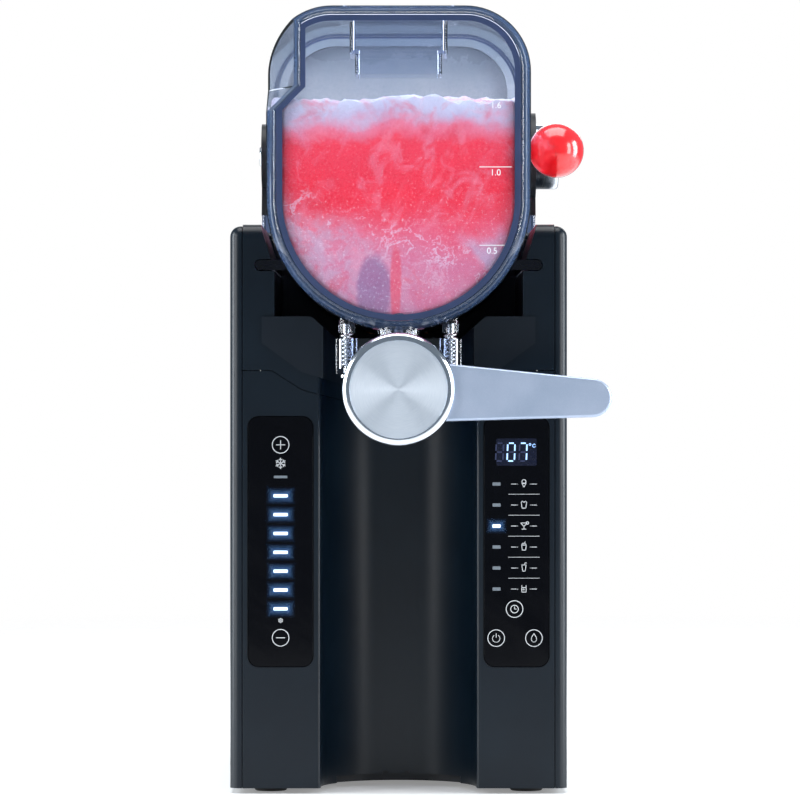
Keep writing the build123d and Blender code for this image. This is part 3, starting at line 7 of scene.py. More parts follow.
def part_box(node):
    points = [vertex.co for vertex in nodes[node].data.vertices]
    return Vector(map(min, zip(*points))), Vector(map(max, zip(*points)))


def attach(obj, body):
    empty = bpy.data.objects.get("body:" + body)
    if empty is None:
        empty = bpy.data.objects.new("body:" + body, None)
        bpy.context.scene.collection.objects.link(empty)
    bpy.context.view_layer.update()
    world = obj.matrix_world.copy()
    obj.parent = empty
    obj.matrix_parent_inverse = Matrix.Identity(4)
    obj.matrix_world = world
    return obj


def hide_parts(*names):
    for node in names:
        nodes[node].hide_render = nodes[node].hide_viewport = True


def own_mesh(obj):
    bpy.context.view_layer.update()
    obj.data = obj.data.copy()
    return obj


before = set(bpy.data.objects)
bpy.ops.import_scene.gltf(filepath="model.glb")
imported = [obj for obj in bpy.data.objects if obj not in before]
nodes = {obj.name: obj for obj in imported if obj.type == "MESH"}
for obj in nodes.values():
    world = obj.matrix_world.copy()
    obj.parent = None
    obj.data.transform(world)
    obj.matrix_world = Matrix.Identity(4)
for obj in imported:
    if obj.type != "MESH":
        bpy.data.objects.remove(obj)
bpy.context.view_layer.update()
print("frame loaded:", len(nodes), "nodes")

# ---- camera, floor and light
studio = {
    "eye": (0.0008, -2.558, 0.217),
    "lens": 196.0,
    "floorSize": 14.0,
    "floorColour": (0.86, 0.87, 0.88),
    "floorFade": (0.75, 1.9),
    "sideLightPower": 20.0,
    "edgeLightPower": 34.0,
    "edgeLightColour": (0.90, 0.96, 1),
    "topLightPower": 26.0,
    "backLightPower": 9.0,
    "roomColour": (0.72, 0.86, 1.0),
    "roomStrength": 0.26,
}


def linked(name, data):
    obj = bpy.data.objects.new(name, data)
    bpy.context.scene.collection.objects.link(obj)
    return obj


def addCamera():
    data = bpy.data.cameras.new("studioCamera")
    data.lens = studio["lens"]
    data.sensor_width = 36.0
    data.clip_end = 60.0
    camera = linked("studioCamera", data)
    camera.location = studio["eye"]
    camera.rotation_euler = (math.radians(90), 0, 0)
    bpy.context.scene.camera = camera


def addSoftbox(name, place, aim, width, height, power, colour=(1, 1, 1)):
    data = bpy.data.lights.new(name, "AREA")
    data.shape = "RECTANGLE"
    data.size = width
    data.size_y = height
    data.energy = power
    data.color = colour
    lamp = linked(name, data)
    lamp.location = place
    lamp.rotation_euler = (Vector(aim) - Vector(place)).to_track_quat("-Z", "Y").to_euler()


def addRoom():
    # the room gives soft fill, and looks plain white behind the machine
    world = bpy.data.worlds.new("room")
    world.use_nodes = True
    tree = world.node_tree
    fill = tree.nodes["Background"]
    fill.inputs["Color"].default_value = (*studio["roomColour"], 1)
    fill.inputs["Strength"].default_value = studio["roomStrength"]
    backdrop = tree.nodes.new("ShaderNodeBackground")
    backdrop.inputs["Color"].default_value = (1, 1, 1, 1)
    path = tree.nodes.new("ShaderNodeLightPath")
    mix = tree.nodes.new("ShaderNodeMixShader")
    tree.links.new(path.outputs["Is Camera Ray"], mix.inputs[0])
    tree.links.new(fill.outputs[0], mix.inputs[1])
    tree.links.new(backdrop.outputs[0], mix.inputs[2])
    tree.links.new(mix.outputs[0], tree.nodes["World Output"].inputs["Surface"])
    bpy.context.scene.world = world


addCamera()
addRoom()
for side, name in ((-1, "left"), (1, "right")):
    addSoftbox(name + "Softbox", (side * 1.75, -1.25, 0.55), (0, -0.05, 0.24), 0.55, 1.5,
               studio["sideLightPower"])
    addSoftbox(name + "EdgeSoftbox", (side * 1.65, -0.16, 0.42), (0, -0.1, 0.22), 0.6, 1.5,
               studio["edgeLightPower"], studio["edgeLightColour"])
addSoftbox("topSoftbox", (0, -0.15, 1.75), (0, 0, 0.2), 1.5, 1.2, studio["topLightPower"])
addSoftbox("backSoftbox", (0.2, 1.6, 1.1), (0, 0, 0.25), 1.4, 0.8, studio["backLightPower"])
bpy.context.scene.view_settings.view_transform = "Standard"
print("studio ready")


# ---- material helpers
def newMaterial(name):
    material = bpy.data.materials.new(name)
    material.use_nodes = True
    tree = material.node_tree
    return material, tree, tree.nodes["Principled BSDF"]


def pieceCoords(tree, centre=(0, 0, 0), turn=(0, 0, 0), stretch=(1, 1, 1)):
    # the piece's own coordinates in metres, with the pattern centred, turned and drawn out
    coords = tree.nodes.new("ShaderNodeTexCoord")
    mapping = tree.nodes.new("ShaderNodeMapping")
    mapping.vector_type = "TEXTURE"
    mapping.inputs["Location"].default_value = centre
    mapping.inputs["Rotation"].default_value = turn
    mapping.inputs["Scale"].default_value = stretch
    tree.links.new(coords.outputs["Object"], mapping.inputs["Vector"])
    return mapping.outputs["Vector"]


def noiseOf(tree, vector, scale, detail=3.0, rough=0.5, twist=0.0):
    node = tree.nodes.new("ShaderNodeTexNoise")
    node.inputs["Scale"].default_value = scale
    node.inputs["Detail"].default_value = detail
    node.inputs["Roughness"].default_value = rough
    node.inputs["Distortion"].default_value = twist
    tree.links.new(vector, node.inputs["Vector"])
    return node.outputs[0]


def sums(tree, operation, first, second=0.0, third=0.0, clamp=False):
    node = tree.nodes.new("ShaderNodeMath")
    node.operation = operation
    node.use_clamp = clamp
    for socket, value in zip(node.inputs, (first, second, third)):
        if isinstance(value, (int, float)):
            socket.default_value = value
        else:
            tree.links.new(value, socket)
    return node.outputs[0]


def rangeOf(tree, value, low, high, toLow=0.0, toHigh=1.0):
    node = tree.nodes.new("ShaderNodeMapRange")
    node.interpolation_type = "SMOOTHSTEP"
    tree.links.new(value, node.inputs["Value"])
    for name, number in (("From Min", low), ("From Max", high), ("To Min", toLow), ("To Max", toHigh)):
        node.inputs[name].default_value = number
    return node.outputs[0]


def blendColours(tree, share, first, second):
    node = tree.nodes.new("ShaderNodeMix")
    node.data_type = "RGBA"
    for socket, value in ((node.inputs[0], share), (node.inputs[6], first), (node.inputs[7], second)):
        if isinstance(value, (int, float)):
            socket.default_value = value
        elif isinstance(value, tuple):
            socket.default_value = (*value, 1)
        else:
            tree.links.new(value, socket)
    return node.outputs[2]


def rampOf(tree, value, stops):
    node = tree.nodes.new("ShaderNodeValToRGB")
    marks = node.color_ramp.elements
    while len(marks) < len(stops):
        marks.new(0.5)
    for mark, (place, colour) in zip(marks, stops):
        mark.position = place
        mark.color = (*colour, 1)
    tree.links.new(value, node.inputs[0])
    return node.outputs[0]


def feed(tree, shader, socket, value):
    tree.links.new(value, shader.inputs[socket])


def fixed(shader, **numbers):
    # plain values on the shader's own sockets: coatWeight=0.8 sets "Coat Weight"
    for key, number in numbers.items():
        spaced = "".join(" " + letter if letter.isupper() else letter for letter in key)
        shader.inputs["IOR" if key == "ior" else spaced.title()].default_value = number


def bumpFrom(tree, shader, height, depth, strength=1.0):
    node = tree.nodes.new("ShaderNodeBump")
    node.inputs["Strength"].default_value = strength
    node.inputs["Distance"].default_value = depth
    tree.links.new(height, node.inputs["Height"])
    tree.links.new(node.outputs[0], shader.inputs["Normal"])


def moulded(name, look):
    # plastic, rubber, paint or cast metal: patchy colour, handled sheen and a fine grain
    material, tree, shader = newMaterial(name)
    vector = pieceCoords(tree)
    patches = noiseOf(tree, vector, look.get("patch", 22), 4, 0.55)
    grain = noiseOf(tree, vector, look.get("grain", 2200), 2, 0.6)
    colour = blendColours(tree, rangeOf(tree, patches, 0.3, 0.7), look["colour"], look["second"])
    specks = rangeOf(tree, grain, 0.35, 0.75, 0, look.get("speck", 0.25))
    colour = blendColours(tree, specks, colour, look["second"])
    feed(tree, shader, "Base Color", colour)
    spread = look.get("spread", 0.08)
    sheenMap = sums(tree, "MULTIPLY_ADD", patches, spread, look["rough"] - spread / 2)
    feed(tree, shader, "Roughness", sums(tree, "MULTIPLY_ADD", grain, spread / 2, sheenMap, True))
    fixed(shader, metallic=look.get("metal", 0.0), ior=look.get("ior", 1.5),
          coatWeight=look.get("coat", 0.0), coatRoughness=look.get("coatRough", 0.1))
    bumpFrom(tree, shader, grain, look.get("depth", 0.00002))
    return material


def brushed(name, look):
    # metal with lines drawn out along one or two axes by the tool or the die
    material, tree, shader = newMaterial(name)
    fine = pieceCoords(tree, stretch=look["draw"])
    lines = noiseOf(tree, fine, look.get("lines", 900), 3, 0.65)
    patches = noiseOf(tree, pieceCoords(tree), look.get("patch", 40), 3)
    colour = blendColours(tree, rangeOf(tree, lines, 0.3, 0.7), look["colour"], look["second"])
    tarnish = rangeOf(tree, patches, 0.5, 0.8, 0, look.get("tarnish", 0.25))
    colour = blendColours(tree, tarnish, colour, look.get("tarnishColour", look["second"]))
    feed(tree, shader, "Base Color", colour)
    roughness = sums(tree, "MULTIPLY_ADD", lines, look.get("spread", 0.12), look["rough"] - 0.06)
    feed(tree, shader, "Roughness", sums(tree, "MULTIPLY_ADD", patches, 0.06, roughness, True))
    fixed(shader, metallic=look.get("metal", 1.0))
    bumpFrom(tree, shader, lines, look.get("depth", 0.000015))
    return material


looks = {
    "body_plastic": {"colour": (0.0012, 0.0048, 0.0100), "second": (0.0026, 0.0076, 0.0140),
                     "rough": 0.31, "spread": 0.05, "grain": 1900, "depth": 0.000012, "ior": 1.38},
    "body_accent": {"colour": (0.0030, 0.0060, 0.0105), "second": (0.0055, 0.0095, 0.0155),
                    "rough": 0.30, "spread": 0.05, "grain": 2100, "depth": 0.000012, "ior": 1.42},
    "seal_rubber": {"colour": (0.028, 0.044, 0.105), "second": (0.040, 0.058, 0.125),
                    "rough": 0.50, "grain": 1600, "depth": 0.00002},
    "foot_rubber": {"colour": (0.012, 0.012, 0.013), "second": (0.024, 0.024, 0.025),
                    "rough": 0.75, "grain": 1300, "depth": 0.00004, "speck": 0.5},
    "black_plastic": {"colour": (0.004, 0.006, 0.009), "second": (0.008, 0.010, 0.014), "ior": 1.42,
                      "rough": 0.45, "grain": 1700, "depth": 0.00002},
    "seat_plastic": {"colour": (0.07, 0.085, 0.12), "second": (0.09, 0.10, 0.14), "rough": 0.35},
    "auger_plastic": {"colour": (0.17, 0.13, 0.26), "second": (0.22, 0.18, 0.32), "rough": 0.34,
                      "coat": 0.3, "coatRough": 0.15},
    "cast_metal": {"colour": (0.33, 0.34, 0.35), "second": (0.45, 0.46, 0.47), "rough": 0.55, "metal": 0.85,
                   "grain": 900, "depth": 0.00008, "patch": 60},
    "compressor_paint": {"colour": (0.010, 0.010, 0.012), "second": (0.020, 0.020, 0.022), "rough": 0.30,
                         "grain": 500, "depth": 0.00006, "coat": 0.4, "coatRough": 0.2},
    "board_green": {"colour": (0.010, 0.090, 0.042), "second": (0.016, 0.13, 0.062), "rough": 0.32,
                    "grain": 700, "depth": 0.00002, "speck": 0.4},
    "bearing_plastic": {"colour": (0.66, 0.64, 0.58), "second": (0.74, 0.72, 0.67), "rough": 0.40},
}
drawnLooks = {
    "drum_steel": {"colour": (0.58, 0.60, 0.62), "second": (0.68, 0.70, 0.72), "rough": 0.26,
                   "draw": (8, 1, 8)},
    "spring_steel": {"colour": (0.60, 0.62, 0.64), "second": (0.72, 0.73, 0.75), "rough": 0.22,
                     "draw": (1, 1, 6)},
    "copper": {"colour": (0.70, 0.30, 0.16), "second": (0.80, 0.40, 0.22), "rough": 0.28,
               "draw": (5, 1, 1),
               "tarnishColour": (0.30, 0.12, 0.07), "tarnish": 0.5},
    "fin_aluminium": {"colour": (0.68, 0.70, 0.72), "second": (0.78, 0.79, 0.80), "rough": 0.34,
                      "draw": (1, 1, 9)},
    "motor_steel": {"colour": (0.42, 0.43, 0.45), "second": (0.52, 0.53, 0.55), "rough": 0.30,
                    "draw": (9, 1, 9)},
    "screw_steel": {"colour": (0.50, 0.51, 0.53), "second": (0.62, 0.63, 0.64), "rough": 0.30,
                    "draw": (1, 3, 1)},
}


def panelGlass(name):
    # black printed glass with faint finger smears
    material, tree, shader = newMaterial(name)
    smears = noiseOf(tree, pieceCoords(tree, turn=(0, 0.6, 0), stretch=(3, 1, 1)), 70, 5, 0.6, 0.4)
    dust = noiseOf(tree, pieceCoords(tree), 2600, 1)
    specks = rangeOf(tree, dust, 0.66, 0.80, 0, 0.5)
    colour = blendColours(tree, specks, (0.0016, 0.0018, 0.0030), (0.010, 0.011, 0.014))
    feed(tree, shader, "Base Color", colour)
    feed(tree, shader, "Roughness", rangeOf(tree, smears, 0.3, 0.8, 0.06, 0.20))
    fixed(shader, ior=1.24)
    bumpFrom(tree, shader, smears, 0.00001, 0.3)
    return material


def clearPlastic(name, look):
    # clear moulding with a smoky blue cast that deepens where it is seen along the wall
    material, tree, shader = newMaterial(name)
    vector = pieceCoords(tree)
    haze = noiseOf(tree, vector, 45, 4, 0.6, 0.5)
    scuffs = noiseOf(tree, pieceCoords(tree, turn=(0, 0, 0.5), stretch=(6, 1, 1)), 600, 2)
    colour = blendColours(tree, rangeOf(tree, haze, 0.3, 0.7), look["colour"], look["second"])
    feed(tree, shader, "Base Color", colour)
    fixed(shader, transmissionWeight=1.0, ior=look["ior"])
    roughness = rangeOf(tree, haze, 0.3, 0.8, look["rough"], look["rough"] + 0.03)
    feed(tree, shader, "Roughness", sums(tree, "MULTIPLY_ADD", scuffs, 0.02, roughness))
    bumpFrom(tree, shader, scuffs, 0.000004, 0.4)
    body = tree.nodes.new("ShaderNodeVolumeAbsorption")
    body.inputs["Color"].default_value = (*look["absorbs"], 1)
    body.inputs["Density"].default_value = look["density"]
    output = tree.nodes["Material Output"]
    tree.links.new(body.outputs[0], output.inputs["Volume"])
    # lamps shine straight through, so that what is inside is lit
    path = tree.nodes.new("ShaderNodeLightPath")
    through = tree.nodes.new("ShaderNodeBsdfTransparent")
    through.inputs["Color"].default_value = (*look["lets"], 1)
    mix = tree.nodes.new("ShaderNodeMixShader")
    tree.links.new(path.outputs["Is Shadow Ray"], mix.inputs[0])
    tree.links.new(shader.outputs[0], mix.inputs[1])
    tree.links.new(through.outputs[0], mix.inputs[2])
    tree.links.new(mix.outputs[0], output.inputs["Surface"])
    return material


def chromeTrim(name):
    material, tree, shader = newMaterial(name)
    smears = noiseOf(tree, pieceCoords(tree), 120, 4, 0.6, 0.3)
    pits = noiseOf(tree, pieceCoords(tree), 1800, 2)
    colour = blendColours(tree, rangeOf(tree, smears, 0.35, 0.75), (0.74, 0.78, 0.84), (0.66, 0.71, 0.79))
    feed(tree, shader, "Base Color", colour)
    fixed(shader, metallic=1.0)
    feed(tree, shader, "Roughness", rangeOf(tree, smears, 0.3, 0.8, 0.09, 0.20))
    bumpFrom(tree, shader, pits, 0.000004, 0.4)
    return material


def spunDisc(name, look):
    # fine rings about the disc's own middle, with the glare spread across them
    material, tree, shader = newMaterial(name)
    low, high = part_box("handle_face")
    middle = (low + high) / 2
    split = tree.nodes.new("ShaderNodeSeparateXYZ")
    tree.links.new(pieceCoords(tree, centre=(middle.x, 0, middle.z)), split.inputs[0])
    square = sums(tree, "MULTIPLY", split.outputs["X"], split.outputs["X"])
    reach = sums(tree, "SQRT", sums(tree, "MULTIPLY_ADD", split.outputs["Z"], split.outputs["Z"], square))
    angle = sums(tree, "ARCTAN2", split.outputs["Z"], split.outputs["X"])
    turned = tree.nodes.new("ShaderNodeCombineXYZ")
    tree.links.new(reach, turned.inputs["X"])
    tree.links.new(sums(tree, "MULTIPLY", angle, 0.0006), turned.inputs["Y"])
    rings = noiseOf(tree, turned.outputs[0], look["ringScale"], 3, 0.7)
    coarse = noiseOf(tree, turned.outputs[0], look["ringScale"] * 0.28, 2, 0.6)
    lines = sums(tree, "MULTIPLY_ADD", coarse, 0.2, sums(tree, "MULTIPLY", rings, 0.8))
    colour = blendColours(tree, rangeOf(tree, lines, 0.35, 0.65), look["colour"], look["second"])
    feed(tree, shader, "Base Color", colour)
    rough = look["rough"]
    feed(tree, shader, "Roughness", rangeOf(tree, lines, 0.3, 0.7, rough - 0.03, rough + 0.04))
    fixed(shader, metallic=look["metal"], anisotropic=0.92, anisotropicRotation=0.25)
    tangent = tree.nodes.new("ShaderNodeTangent")
    tangent.direction_type = "RADIAL"
    tangent.axis = "Y"
    feed(tree, shader, "Tangent", tangent.outputs[0])
    bumpFrom(tree, shader, lines, 0.000003, 0.2)
    return material


def satinArm(name, look):
    # blasted and lacquered casting
    material, tree, shader = newMaterial(name)
    vector = pieceCoords(tree)
    patches = noiseOf(tree, vector, 30, 4, 0.55)
    blast = noiseOf(tree, vector, 2400, 2, 0.6)
    colour = blendColours(tree, rangeOf(tree, patches, 0.3, 0.7), look["colour"], look["second"])
    colour = blendColours(tree, rangeOf(tree, blast, 0.4, 0.8, 0, 0.3), colour, look["speck"])
    feed(tree, shader, "Base Color", colour)
    fixed(shader, metallic=look["metal"])
    rough = look["rough"]
    feed(tree, shader, "Roughness", rangeOf(tree, patches, 0.3, 0.7, rough - 0.03, rough + 0.05))
    fixed(shader, coatWeight=0.25, coatRoughness=0.22)
    bumpFrom(tree, shader, blast, 0.000012)
    return material


def redBall(name):
    material, tree, shader = newMaterial(name)
    vector = pieceCoords(tree)
    patches = noiseOf(tree, vector, 60, 4, 0.55)
    peel = noiseOf(tree, vector, 420, 2)
    colour = blendColours(tree, rangeOf(tree, patches, 0.3, 0.7), (0.78, 0.010, 0.016), (0.88, 0.022, 0.028))
    feed(tree, shader, "Base Color", colour)
    feed(tree, shader, "Roughness", rangeOf(tree, patches, 0.3, 0.7, 0.16, 0.26))
    fixed(shader, coatWeight=0.8, coatRoughness=0.05)
    bumpFrom(tree, shader, peel, 0.00003, 0.5)
    return material


def glowing(name, colour, strength, falloff=None):
    # light that comes through the panel; falloff names the attribute that fades a halo out
    material, tree, shader = newMaterial(name)
    cloud = noiseOf(tree, pieceCoords(tree), 500, 2)
    tint = blendColours(tree, rangeOf(tree, cloud, 0.3, 0.7), colour, tuple(c * 0.92 for c in colour))
    feed(tree, shader, "Base Color", tint)
    feed(tree, shader, "Emission Color", tint)
    fixed(shader, emissionStrength=strength)
    feed(tree, shader, "Roughness", rangeOf(tree, cloud, 0.3, 0.7, 0.3, 0.4))
    if falloff:
        attribute = tree.nodes.new("ShaderNodeAttribute")
        attribute.attribute_name = falloff
        feed(tree, shader, "Alpha", attribute.outputs["Fac"])
    return material


def printedInk(name, colour, rough=0.5):
    material, tree, shader = newMaterial(name)
    wear = noiseOf(tree, pieceCoords(tree), 900, 3)
    worn = tuple(c * 0.75 for c in colour)
    feed(tree, shader, "Base Color", blendColours(tree, rangeOf(tree, wear, 0.4, 0.8, 0, 0.4), colour, worn))
    feed(tree, shader, "Roughness", rangeOf(tree, wear, 0.3, 0.7, rough - 0.08, rough + 0.08))
    return material


def facePlateFinish(name):
    # satin light plastic, frosted over near the slush and clear of frost at the top; the same height mask
    # paints the top darker as painted shade, while the frost's paler colour, rougher sheen and grain lower
    # down are real
    material, tree, shader = newMaterial(name)
    vector = pieceCoords(tree)
    split = tree.nodes.new("ShaderNodeSeparateXYZ")
    tree.links.new(vector, split.inputs[0])
    cloud = noiseOf(tree, vector, 34, 5, 0.6, 0.4)
    crystals = noiseOf(tree, vector, 520, 3, 0.65)
    height = sums(tree, "MULTIPLY_ADD", cloud, 0.030, split.outputs["Z"])
    # painted shade: above the frost line the colour turns darker towards the top
    frostAndTopShade = rangeOf(tree, height, 0.395, 0.444, 1, 0)
    patchy = sums(tree, "MULTIPLY", frostAndTopShade, rangeOf(tree, crystals, 0.25, 0.6, 0.6, 1))
    colour = blendColours(tree, patchy, (0.17, 0.20, 0.23), (0.31, 0.32, 0.33))
    feed(tree, shader, "Base Color", colour)
    feed(tree, shader, "Roughness", rangeOf(tree, patchy, 0, 1, 0.26, 0.6))
    bumpFrom(tree, shader, sums(tree, "MULTIPLY", crystals, frostAndTopShade), 0.0002, 0.6)
    return material


finishes = {name: moulded(name + "Finish", look) for name, look in looks.items()}
finishes.update({name: brushed(name + "Finish", look) for name, look in drawnLooks.items()})
finishes["light_plastic"] = facePlateFinish("facePlateFinish")
finishes["panel_glass"] = panelGlass("panelGlassFinish")
vesselLook = {"colour": (0.95, 0.97, 1.0), "second": (0.91, 0.94, 0.99), "ior": 1.49, "rough": 0.0,
              "absorbs": (0.30, 0.45, 0.80), "density": 26.0, "lets": (0.90, 0.93, 0.97)}
finishes["clear_plastic"] = clearPlastic("vesselClearFinish", vesselLook)
finishes["chrome_trim"] = chromeTrim("chromeTrimFinish")
discLook = {"colour": (0.72, 0.79, 0.88), "second": (0.80, 0.86, 0.94), "rough": 0.43, "metal": 0.95,
            "ringScale": 4600}
finishes["brushed_disc"] = spunDisc("spunDiscFinish", discLook)
armLook = {"colour": (0.36, 0.44, 0.58), "second": (0.42, 0.49, 0.63), "speck": (0.55, 0.62, 0.74),
           "rough": 0.34, "metal": 0.45}
finishes["satin_metal"] = satinArm("satinArmFinish", armLook)
finishes["red_knob"] = redBall("redBallFinish")
finishes["light_guide"] = glowing("lightGuideFinish", (0.60, 0.74, 0.92), 0.6)

for node in nodes.values():
    for slot in node.material_slots:
        slot.material = finishes[slot.material.name]
print("finishes on the CAD nodes:", len(finishes))


# ---- mesh helpers
ink = {"thick": 0.00012, "sunk": 0.00002}
halo = {"lift": 0.00003, "glow": 0.24, "steps": 4}


def pieceFrom(mesh, name, body, material):
    obj = linked(name, mesh)
    mesh.materials.clear()
    mesh.materials.append(material)
    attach(obj, body)
    return obj


def meshFrom(bm, name, smooth=False):
    mesh = bpy.data.meshes.new(name)
    bmesh.ops.recalc_face_normals(bm, faces=bm.faces)
    for face in bm.faces:
        face.smooth = smooth
    bm.to_mesh(mesh)
    bm.free()
    return mesh


def vertsOf(geom):
    return [g for g in geom if isinstance(g, bmesh.types.BMVert)]


def edgesOf(geom):
    return [g for g in geom if isinstance(g, bmesh.types.BMEdge)]


def addBlock(bm, low, high):
    low, high = Vector(low), Vector(high)
    size = high - low
    place = Matrix.Translation((low + high) / 2) @ Matrix.Diagonal((*size, 1))
    return bmesh.ops.create_cube(bm, size=1.0, matrix=place)["verts"]


def addStroke(bm, start, end, width, front):
    # a printed line between two points on the panel, start and end as (x, z)
    along = Vector((end[0] - start[0], 0, end[1] - start[1]))
    turn = Matrix.Rotation(-math.atan2(along.z, along.x), 4, "Y")
    depth = front - ink["thick"] / 2 + ink["sunk"]
    middle = Vector(((start[0] + end[0]) / 2, depth, (start[1] + end[1]) / 2))
    size = Matrix.Diagonal((along.length + width * 0.6, ink["thick"], width, 1))
    bmesh.ops.create_cube(bm, size=1.0, matrix=Matrix.Translation(middle) @ turn @ size)


def addPath(bm, points, width, front, closed=False):
    pairs = list(zip(points, points[1:]))
    if closed:
        pairs.append((points[-1], points[0]))
    for start, end in pairs:
        addStroke(bm, start, end, width, front)


def addRing(bm, x, z, radius, width, front):
    corners = [(radius - width / 2, ink["sunk"]), (radius + width / 2, ink["sunk"]),
               (radius + width / 2, -ink["thick"]), (radius - width / 2, -ink["thick"])]
    profile = [bm.verts.new((x + r, front + y, z)) for r, y in corners]
    edges = [bm.edges.new((profile[i], profile[(i + 1) % 4])) for i in range(4)]
    bmesh.ops.spin(bm, geom=edges, cent=(x, 0, z), axis=(0, 1, 0), angle=math.tau, steps=36, use_merge=True)


def addDot(bm, x, z, radius, front):
    depth = front - ink["thick"] / 2 + ink["sunk"]
    place = Matrix.Translation((x, depth, z)) @ Matrix.Rotation(math.pi / 2, 4, "X")
    bmesh.ops.create_cone(bm, cap_ends=True, segments=20, radius1=radius, radius2=radius,
                          depth=ink["thick"], matrix=place)


def addPlate(bm, x, z, width, height, corner, front, thick=0.00012):
    # a flat lamp window with round corners
    verts = addBlock(bm, (x - width / 2, front - thick + ink["sunk"], z - height / 2),
                     (x + width / 2, front + ink["sunk"], z + height / 2))
    upright = [e for e in {e for v in verts for e in v.link_edges}
               if (e.verts[0].co - e.verts[1].co).cross(Vector((0, 1, 0))).length < 1e-7]
    bmesh.ops.bevel(bm, geom=upright, offset=corner, affect="EDGES", segments=4, profile=0.5, material=-1)


def addHalo(bm, layer, x, z, width, height, reach, front):
    # flat rings round a lamp, each fainter than the last
    verts = [bm.verts.new((x + dx * width / 2, front - halo["lift"], z + dz * height / 2))
             for dx, dz in ((-1, -1), (1, -1), (1, 1), (-1, 1))]
    edges = [bm.edges.new((verts[i], verts[(i + 1) % 4])) for i in range(4)]
    bmesh.ops.contextual_create(bm, geom=edges)
    for v in verts:
        v[layer] = halo["glow"]
    steps = halo["steps"]
    for step in range(steps):
        grown = bmesh.ops.extrude_edge_only(bm, edges=edges)["geom"]
        fresh = vertsOf(grown)
        edges = [e for e in edgesOf(grown) if all(v in fresh for v in e.verts)]
        share = (step + 1) / steps
        for v in fresh:
            v.co.x += math.copysign(reach / steps, v.co.x - x)
            v.co.z += math.copysign(reach / steps, v.co.z - z)
            v[layer] = halo["glow"] * (1 - share) ** 2


# ---- slush
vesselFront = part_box("tap_posts")[0].y - 0.0136    # the posts stand this far behind the vessel's face
slush = {
    "wallGap": 0.0012,       # between the slush and the vessel's wall
    "sweepGap": 0.0016,      # round the auger, which turns in it
    "voxel": 0.0019,
    "rawTop": 0.3880,
    "level": 0.3812,
    "frontSkin": 0.0036,     # from the vessel's face to the slush
    "noseStep": 0.0045,
    "noseLength": 0.0090,
    "rearGap": 0.0022,
    "foot": 0.366,           # below this the mass keeps its shape
    "lip": (0.0180, -0.004, -0.0480),
    "lipSlope": (-0.019, 0.046, 0),
    "sweepSkin": 0.0003,
}


